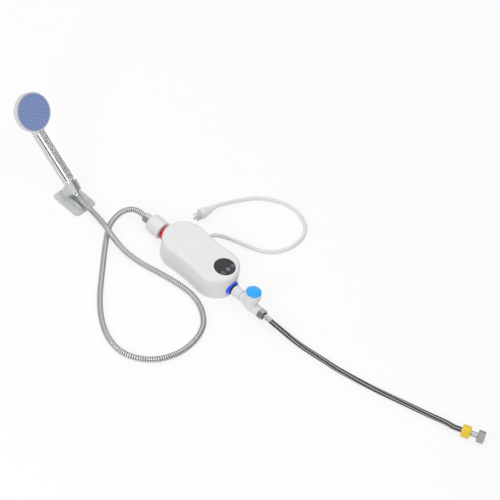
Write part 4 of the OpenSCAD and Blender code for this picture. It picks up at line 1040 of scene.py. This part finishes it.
class KIT_OT_collars(bpy.types.Operator):
    """Round-edged red and blue collars that sit on the housing's ends"""

    bl_idname = "heater_kit.collars"
    bl_label = "Collars"

    def execute(self, context):
        s, c = context.scene.kit_fittings, context.scene.kit_colours
        red = shared("hot red", glossy_moulding, c.red)
        blue = shared("cold blue", glossy_moulding, c.blue)
        self.collar("outlet_collar_round", "outlet_collar", -X_AXIS, -low_high("outlet_collar", 0)[0], s,
                    red, "red_plastic")
        self.collar("inlet_collar_round", "inlet_collar", X_AXIS, low_high("inlet_collar", 0)[1], s, blue,
                    "blue_plastic")
        return {"FINISHED"}

    def collar(self, name, node, out, end, s, material, slot):
        """Ring whose inner end follows the housing: its height is the greater of the ring's own and
        e + sqrt(R^2 - y^2) on the housing's round end."""
        bore, r, deep = s.thread_r + 0.15 * MM, s.collar_d / 2.0, 14.0 * MM
        corners = [(bore, -deep), (r, -deep), (r, 0.0), (bore, 0.0)]
        profile = dense(rounded(corners, MM * np.array([0.1, 0.1, 2.2, 0.3]), 8), 1.0 * MM)
        grid = turned(profile, 96)
        housing_end = low_high("upper_shell", 0)[1]
        on_housing = housing_end - s.end_r + np.sqrt(s.end_r**2 - grid[:, :, 1] ** 2) + 0.05 * MM
        grid[:, :, 2] = np.maximum(grid[:, :, 2] + end, on_housing)
        place = local_frame((0.0, 0.0, PORT_Z), out, Z_AXIS)
        piece(name, [(placed(grid, place), True, True, None)], material, "heater", [node], 35.0)


class KIT_OT_valve(bpy.types.Operator):
    """Flow valve: smooth body, fluted coupling nut, knob and cap"""

    bl_idname = "heater_kit.valve"
    bl_label = "Flow valve"

    def execute(self, context):
        s, c = context.scene.kit_fittings, context.scene.kit_colours
        white = shared("white moulding", white_moulding, c)
        self.axis = np.array([*JOINTS["knob_turn"]["pos_m"][:2], 0.0])
        self.body(s, white)
        self.nut(s, white)
        self.knob(white)
        self.cap(shared("cap blue", glossy_moulding, c.cap))
        return {"FINISHED"}

    def body(self, s, white):
        """Bulb turned about the inlet, joined to the leg turned about the outlet and to the neck turned
        about the knob, with the water ways and the plug's bore taken out."""
        low, high = low_high("valve_body", 0)
        neck = self.axis[0] - low
        knots = np.array([
            (11.6 * MM, 0.6 * MM), (11.9 * MM, 0.18 * neck), (13.2 * MM, 0.48 * neck),
            (15.0 * MM, 0.78 * neck), (s.bulb_r, neck), (14.6 * MM, neck + 6.0 * MM),
            (11.0 * MM, neck + 11.4 * MM), (5.0 * MM, neck + 15.0 * MM),
        ])
        outside = curve_through(knots, np.array([0.0, 1.0]), np.array([-1.0, 0.1]), 8)
        bulb = np.concatenate([[(0.0, 0.0), (11.2 * MM, 0.0)], outside, [(0.0, neck + 15.7 * MM)]])
        body = piece("valve_body_smooth", [solid_shell(bulb, inlet_place("valve_body"), 96)], white,
                     "heater", ["valve_body"], 32.0)
        cut(body, [self.leg(s, neck, high - low)], "UNION")
        top = low_high("valve_body", 2)[1]
        up = local_frame(self.axis, Z_AXIS, X_AXIS)
        cut(body, [self.neck(s, up, top)], "UNION")
        seat, way = 8.05 * MM, 5.0 * MM
        inlet = np.array([(0.0, -MM), (seat, -MM), (seat, seat), (way, seat), (way, neck), (0.0, neck)])
        cut(body, [solid_shell(inlet, inlet_place("valve_body"), 64)], "DIFFERENCE")
        outlet = np.array([(0.0, neck + s.plug_r - MM), (way, neck + s.plug_r - MM), (way, high - low + MM),
                           (0.0, high - low + MM)])
        cut(body, [solid_shell(outlet, supply_place("valve_body"), 64)], "DIFFERENCE")
        bore = np.array([(0.0, PORT_Z - seat), (s.plug_r + s.turn_gap, PORT_Z - seat),
                         (s.plug_r + s.turn_gap, top + MM), (0.0, top + MM)])
        cut(body, [solid_shell(bore, up, 64)], "DIFFERENCE")

    def leg(self, s, neck, end):
        """Leg that narrows from the bulb to its shoulder, then the thread."""
        shoulder = end - 6.0 * MM
        knots = np.array([
            (13.4 * MM, neck), (13.2 * MM, neck + 6.0 * MM), (12.5 * MM, neck + 12.0 * MM),
            (s.leg_r, neck + 18.0 * MM), (s.leg_r, shoulder - 0.5 * MM),
        ])
        outside = curve_through(knots, np.array([0.0, 1.0]), np.array([0.0, 1.0]), 6)
        rest = [(s.leg_r - 0.5 * MM, shoulder), (s.thread_r, shoulder), (s.thread_r, end - 0.4 * MM),
                (s.thread_r - 0.4 * MM, end), (0.0, end)]
        return solid_shell(np.concatenate([[(0.0, neck)], outside, rest]), supply_place("valve_body"), 96)

    def neck(self, s, up, top):
        """Round neck under the knob, a little wider where it leaves the bulb."""
        r = s.bonnet_r
        side = curve_through(
            np.array([(r + 0.8 * MM, PORT_Z + 4.0 * MM), (r + 0.4 * MM, PORT_Z + 9.0 * MM),
                      (r, PORT_Z + 14.0 * MM), (r, top - 0.6 * MM)]),
            np.array([0.0, 1.0]), np.array([0.0, 1.0]), 6)
        foot = [(0.0, PORT_Z), (r + 0.8 * MM, PORT_Z)]
        return solid_shell(np.concatenate([foot, side, [(r - 0.6 * MM, top), (0.0, top)]]), up, 96)

    def nut(self, s, white):
        """Coupling nut with twelve shallow flutes: r - d w(h) max(0, cos 12t)^6."""
        flute_depth = 0.45 * MM
        low, high = low_high("valve_nut", 0)
        long, r = high - low, 13.2 * MM
        mouth = s.thread_r + s.turn_gap
        seat = 17.3 * MM
        corners = [(mouth, 0.0), (r, 0.0), (r, long), (8.4 * MM, long), (8.4 * MM, seat), (mouth, seat)]
        profile = dense(rounded(corners, MM * np.array([0.3, 1.6, 1.8, 0.3, 0.2, 0.2]), 7), 1.0 * MM)

        def fluted(radius, h, t):
            window = smooth(h, 3.5 * MM, 6.0 * MM) * smooth(long - h, 3.5 * MM, 6.0 * MM)
            wave = np.maximum(0.0, np.cos(12.0 * t)) ** 6
            return radius - flute_depth * window * wave * (radius > r - 0.1 * MM)

        piece("valve_nut_fluted", [ring_shell(profile, inlet_place("valve_nut"), 192, fluted)], white,
              "valve_coupler", ["valve_nut"], 35.0)

    def knob(self, white):
        """Hub inside a skirt, with the cap's seat and the screw's hole on top."""
        low, high = low_high("valve_knob", 2)
        tall, r = high - low, low_high("valve_knob", 1)[1]
        spindle, hub, skirt, hollow = 4.05 * MM, 7.0 * MM, 17.0 * MM, 8.0 * MM
        seat, head, screw = 17.6 * MM, 3.4 * MM, 1.7 * MM
        corners = [
            (spindle, 0.0), (hub, 0.0), (hub, hollow), (skirt, hollow), (skirt, 0.0), (r, 0.0), (r, tall),
            (seat, tall), (seat, tall - 1.5 * MM), (head, tall - 1.5 * MM), (head, tall - 6.0 * MM),
            (screw, tall - 6.0 * MM), (screw, tall - 8.0 * MM), (spindle, tall - 8.0 * MM),
        ]
        reach = MM * np.array([0.3, 0.3, 0.3, 0.3, 0.4, 0.9, 2.2, 0.4, 0.2, 0.2, 0.2, 0.2, 0.1, 0.2])
        place = local_frame(self.axis + (0.0, 0.0, low), Z_AXIS, X_AXIS)
        profile = dense(rounded(corners, reach, 8), 1.5 * MM)
        piece("valve_knob_round", [ring_shell(profile, place, 128)], white, "knob", ["valve_knob"],
              35.0)

    def cap(self, blue):
        """Flat dome: r sin(pi x / 2)^0.55 out from the axis, and a height that falls by x^2.6."""
        low, high = low_high("knob_cap", 2)
        tall, r = high - low, low_high("knob_cap", 1)[1]
        edge = 2.0 * MM
        x = np.linspace(1.0, 0.0, 14)
        dome = np.stack([r * np.sin(x * np.pi / 2.0) ** 0.55, edge + (tall - edge) * (1.0 - x**2.6)], -1)
        profile = np.concatenate([[(0.0, 0.0), (r, 0.0)], dome[:-1], [(0.0, tall)]])
        place = local_frame(self.axis + (0.0, 0.0, low), Z_AXIS, X_AXIS)
        piece("knob_cap_domed", [solid_shell(profile, place, 96)], blue, "knob", ["knob_cap"],
              30.0)


class KIT_OT_ferrules(bpy.types.Operator):
    """Crimped ferrules at both ends of the supply hose"""

    bl_idname = "heater_kit.ferrules"
    bl_label = "Ferrules"

    bore = 3.0 * MM
    tube_r = 6.0 * MM
    sleeve_r = 6.85 * MM
    flange_r = 9.8 * MM
    flange_l = 2.0 * MM

    def execute(self, context):
        steel = shared("drawn steel", drawn_steel, context.scene.kit_colours)
        self.valve_end(steel)
        self.far_end(steel)
        return {"FINISHED"}

    def crimped(self, corners, start, end, grooves, depth):
        """Profile with round grooves pressed between two heights: r - d (0.5 - 0.5 cos)^3."""
        profile = dense(np.asarray(corners, float), 0.4 * MM)
        r, h = profile[:, 0], profile[:, 1]
        inside = (h > start) & (h < end) & (r > 5.0 * MM)
        wave = (0.5 - 0.5 * np.cos(2.0 * np.pi * grooves * (h - start) / (end - start))) ** 3
        profile[:, 0] = r - np.where(inside, depth * wave, 0.0)
        return profile

    def valve_end(self, steel):
        """Flange and tube in the nut, then a sleeve that widens towards the hose."""
        low, high = low_high("supply_ferrule", 0)
        end = high - low
        taper = end - 20.1 * MM
        corners = [
            (self.bore, 0.0), (self.flange_r, 0.0), (self.flange_r, self.flange_l),
            (self.tube_r, self.flange_l), (self.tube_r, taper), (6.3 * MM, taper),
            (self.sleeve_r, end - 0.3 * MM), (6.6 * MM, end), (self.bore, end),
        ]
        profile = self.crimped(corners, taper + 2.0 * MM, end - 1.5 * MM, 3, 0.12 * MM)
        shell = ring_shell(profile, supply_place("supply_ferrule"), 64)
        piece("supply_ferrule_crimped", [shell], steel, "heater", ["supply_ferrule"], 35.0)

    def far_end(self, steel):
        """Sleeve over the hose, a crimped neck, then the tube and flange in the end nut."""
        sleeve, neck, flange = 22.6 * MM, 36.6 * MM, 40.8 * MM
        end = flange + self.flange_l
        corners = [
            (self.bore, 0.0), (self.sleeve_r, 0.0), (self.sleeve_r, sleeve - 0.3 * MM), (6.55 * MM, sleeve),
            (6.55 * MM, neck - 0.3 * MM), (6.3 * MM, neck), (self.tube_r, neck), (self.tube_r, flange),
            (self.flange_r, flange), (self.flange_r, end), (self.bore, end),
        ]
        profile = self.crimped(corners, sleeve + 1.5 * MM, neck - 1.5 * MM, 2, 0.35 * MM)
        piece("far_ferrule_crimped", [ring_shell(profile, far_place(0.0), 64)], steel, "heater",
              ["far_ferrule"], 35.0)


class KIT_OT_plug(bpy.types.Operator):
    """Moulded plug and the ribbed strain relief at the housing"""

    bl_idname = "heater_kit.plug"
    bl_label = "Plug and gland"

    def execute(self, context):
        s = context.scene.kit_fittings
        white = shared("white moulding", white_moulding, context.scene.kit_colours)
        self.plug(s.cord_plug_r, white)
        self.gland(white)
        return {"FINISHED"}

    def plug(self, r, white):
        """Body that widens in soft steps from cord to pins, its tail grooved by d (0.5 - 0.5 cos)."""
        tail, rib_pitch, rib_depth = 5.95 * MM, 2.8 * MM, 0.45 * MM
        corners = [
            (0.0, 0.0), (tail, 0.0), (tail + 0.8 * MM, 0.22 * PLUG_L), (0.64 * r, 0.36 * PLUG_L),
            (0.76 * r, 0.50 * PLUG_L), (0.80 * r, 0.66 * PLUG_L), (r, 0.70 * PLUG_L), (r, PLUG_L),
            (0.0, PLUG_L),
        ]
        reach = MM * np.array([0.0, 0.8, 5.0, 5.0, 5.0, 1.5, 1.8, 1.2, 0.0])
        profile = dense(rounded(corners, reach, 8), 1.2 * MM, closed=False)
        height = profile[:, 1]
        ribs = smooth(height, 1.5 * MM, 2.5 * MM) * smooth(0.30 * PLUG_L - height, 0.0, 2.0 * MM)
        wave = np.cos(2.0 * np.pi * height / rib_pitch)
        profile[:, 0] -= np.where(profile[:, 0] > 5.0 * MM, rib_depth * ribs * (0.5 - 0.5 * wave), 0.0)
        place = local_frame(PLUG_AT - PLUG_L * PLUG_DIR, PLUG_DIR, Z_AXIS)
        piece("plug_moulded", [solid_shell(profile, place, 96)], white, "heater", ["plug_body"],
              35.0)

    def gland(self, white):
        """Relief that narrows towards the cord, with ribs: r0 + (r1 - r0) u, less d where the ribs part."""
        low, high = low_high("cord_gland", 1)
        middle = gland_place()
        long, relief = high - low, 24.0 * MM
        face = long - relief
        r0, r1, depth, count = 7.6 * MM, 5.8 * MM, 0.35 * MM, 6.0
        u = np.linspace(0.0, 1.0, 110)
        ribs = np.clip(np.cos(2.0 * np.pi * count * u) * 3.0, -1.0, 1.0)
        taper = r0 + (r1 - r0) * u - depth * (0.5 - 0.5 * ribs)
        outer = np.stack([taper, face + 3.6 * MM + (relief - 4.0 * MM) * u], -1)
        inner = MM * np.array([(0.0, 0.0), (9.4, 0.0), (9.4, 3.0), (7.4, 3.0)])
        flange = np.array([(7.4 * MM, face), (8.9 * MM, face + 0.2 * MM), (8.9 * MM, face + 2.8 * MM),
                           (8.2 * MM, face + 3.5 * MM)])
        profile = np.concatenate([inner, flange, outer, [(5.5 * MM, long), (0.0, long)]])
        place = local_frame((middle[0], low, middle[2]), Y_AXIS, Z_AXIS)
        piece("cord_gland_ribbed", [solid_shell(profile, place, 64)], white, "heater", ["cord_gland"],
              35.0)


class KIT_OT_cone_nut(bpy.types.Operator):
    """Chrome cone nut under the hand shower"""

    bl_idname = "heater_kit.cone_nut"
    bl_label = "Cone nut"

    def execute(self, context):
        s = context.scene.kit_fittings
        chrome = shared("polished chrome", polished_chrome, context.scene.kit_colours)
        bore, seat, mouth = 7.05 * MM, 20.95 * MM, s.thread_r + s.turn_gap
        corners = [
            (bore, 0.0), (s.cone_end_r, 0.0), (s.cone_r - 0.5 * MM, CONE_L - 4.0 * MM),
            (s.cone_r, CONE_L - 3.2 * MM), (s.cone_r, CONE_L), (mouth, CONE_L), (mouth, seat + 2.0 * MM),
            (9.5 * MM, seat + 2.0 * MM), (9.5 * MM, seat), (bore, seat),
        ]
        reach = MM * np.array([0.3, 1.2, 0.8, 0.5, 0.6, 0.3, 0.2, 0.2, 0.2, 0.2])
        profile = dense(rounded(corners, reach, 6), 1.5 * MM)
        place = local_frame(HAND_AT - CONE_L * HAND_DIR, HAND_DIR, Y_AXIS)
        piece("cone_nut_turned", [ring_shell(profile, place, 96)], chrome, "cone", ["cone_nut"],
              35.0)
        return {"FINISHED"}


class KIT_OT_display(bpy.types.Operator):
    """Printed touch marks on the display lens: a ring between a ringed minus and a ringed plus"""

    bl_idname = "heater_kit.display"
    bl_label = "Touch marks"

    row_x = 10.4 * MM
    row_y = (-16.0 * MM, 0.5 * MM, 17.0 * MM)
    thick = 0.06 * MM
    ring_r = 4.7 * MM
    thin_inner_r = 3.9 * MM
    bold_inner_r = 2.4 * MM

    def execute(self, context):
        low, high = (np.array(corner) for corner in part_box("display_lens"))
        middle = (low + high) / 2.0
        self.top = high[2]
        ink = shared("touch print", touch_print, context.scene.kit_colours)
        minus, plain, plus = (middle[:2] + (self.row_x, y) for y in self.row_y)
        shells = [
            self.ring(minus, self.thin_inner_r), self.ring(plain, self.bold_inner_r),
            self.ring(plus, self.thin_inner_r), self.bar(minus, 0.0), self.bar(plus, 0.0),
            self.bar(plus, math.pi / 2.0),
        ]
        piece("touch_marks", shells, ink, "heater", (), 35.0)
        return {"FINISHED"}

    def ring(self, spot, inner):
        """Flat ring: the strip between two radii, turned about the spot and as thick as the print."""
        outer = self.ring_r
        profile = np.array([(inner, 0.0), (outer, 0.0), (outer, self.thick), (inner, self.thick)])
        return ring_shell(profile, local_frame((*spot, self.top), Z_AXIS, X_AXIS), 64)

    def bar(self, spot, turn):
        """Thin bar with round ends: the outline |x/a|^5 + |y/b|^5 = 1, carried up by its thickness."""
        a, b, power = 2.6 * MM, 0.65 * MM, 5.0
        profile = np.array([(0.0, 0.0), (1.0, 0.0), (1.0, self.thick), (0.0, self.thick)])

        def outline(r, h, t):
            x, y = np.abs(np.cos(t)) / a, np.abs(np.sin(t)) / b
            return r * (x**power + y**power) ** (-1.0 / power)

        across = (-math.sin(turn), math.cos(turn), 0.0)
        place = local_frame((*spot, self.top), Z_AXIS, across)
        return solid_shell(profile, place, 72, outline)


class KIT_OT_finishes(bpy.types.Operator):
    """Finishes of the frame's own nodes"""

    bl_idname = "heater_kit.finishes"
    bl_label = "Finishes"

    def execute(self, context):
        c = context.scene.kit_colours
        white = shared("white moulding", white_moulding, c)
        natural = moulded("natural moulding", c.natural).material
        steel = shared("drawn steel", drawn_steel, c)
        chrome = shared("chrome plate", chrome_plate, c)
        rubber = soft_rubber("black rubber", c.black)
        brass = machined_brass(c)
        board = board_resist(c)
        clear = clear_plastic(c)
        groups = {
            white: ["upper_shell", "base_shell", "cord_gland", "union_nut", "valve_nut", "valve_body",
                    "valve_bonnet", "valve_knob", "plug_body"],
            # painted shade: a darker copy of the white moulding for the hand shower's body
            moulded("hand shower moulding", c.handset).material: ["handset_body"],
            natural: ["outlet_cap", "inlet_cap", "flow_rotor", "terminal_block", "valve_tail"],
            steel: ["case_screws", "heating_tank", "heating_element", "hose_tail", "cone_tail",
                    "holder_screw", "knob_screw", "supply_nut", "supply_ferrule", "far_ferrule", "end_nut"],
            polished_pins(c): ["plug_pins"],
            chrome: ["hose_nut", "cone_nut", "handle_cover"],
            rubber: ["shell_seal", "tank_orings", "thermal_cutout", "flow_sensor", "port_gaskets",
                     "pipe_washers", "cone_washer", "valve_seal"],
            brass: ["inlet_stub", "outlet_stub", "valve_spindle", "temperature_probe", "cord_cores"],
            board: ["display_board", "control_board"],
            clear: ["holder_sheet", "holder_block", "adhesive_pad"],
            smoked_lens(c): ["display_lens"],
            glossy_moulding("relay case", c.relay): ["power_relays"],
            shared("hot red", glossy_moulding, c.red): ["outlet_collar"],
            shared("cold blue", glossy_moulding, c.blue): ["inlet_collar"],
            shared("cap blue", glossy_moulding, c.cap): ["knob_cap"],
            shared("grip yellow", glossy_moulding, c.yellow): ["supply_grip"],
            moulded("spray plate", c.spray, 0.45).material: ["spray_plate"],
            soft_rubber("nozzle rubber", c.nozzle): ["nozzle_mat"],
            soft_rubber("dark red rubber", c.ring): ["nut_ring"],
        }
        for material, nodes in groups.items():
            for node in nodes:
                finish_node(node, material)
        return {"FINISHED"}


class KIT_PT_panel(bpy.types.Panel):
    bl_idname = "KIT_PT_panel"
    bl_label = "Heater kit"
    bl_space_type = "VIEW_3D"
    bl_region_type = "UI"
    bl_category = "Heater kit"

    def draw(self, context):
        for step in STEPS:
            self.layout.operator(step.bl_idname)


STEPS = (
    KIT_OT_stage,
    KIT_OT_shower_hose,
    KIT_OT_supply_hose,
    KIT_OT_power_cord,
    KIT_OT_hand_nut,
    KIT_OT_hex_nuts,
    KIT_OT_collars,
    KIT_OT_valve,
    KIT_OT_ferrules,
    KIT_OT_plug,
    KIT_OT_cone_nut,
    KIT_OT_display,
    KIT_OT_finishes,
)
GROUPS = {
    "kit_hoses": KitHoseSizes,
    "kit_fittings": KitFittingSizes,
    "kit_colours": KitColours,
    "kit_studio": KitStudio,
}


def register():
    for group in (*GROUPS.values(), *STEPS, KIT_PT_panel):
        bpy.utils.register_class(group)
    for name, group in GROUPS.items():
        setattr(bpy.types.Scene, name, PointerProperty(type=group))


def unregister():
    for name in GROUPS:
        delattr(bpy.types.Scene, name)
    for group in (KIT_PT_panel, *reversed(STEPS), *GROUPS.values()):
        bpy.utils.unregister_class(group)


def main():
    register()
    for step in STEPS:
        getattr(bpy.ops.heater_kit, step.bl_idname.split(".")[1])()


if __name__ == "__main__":
    main()
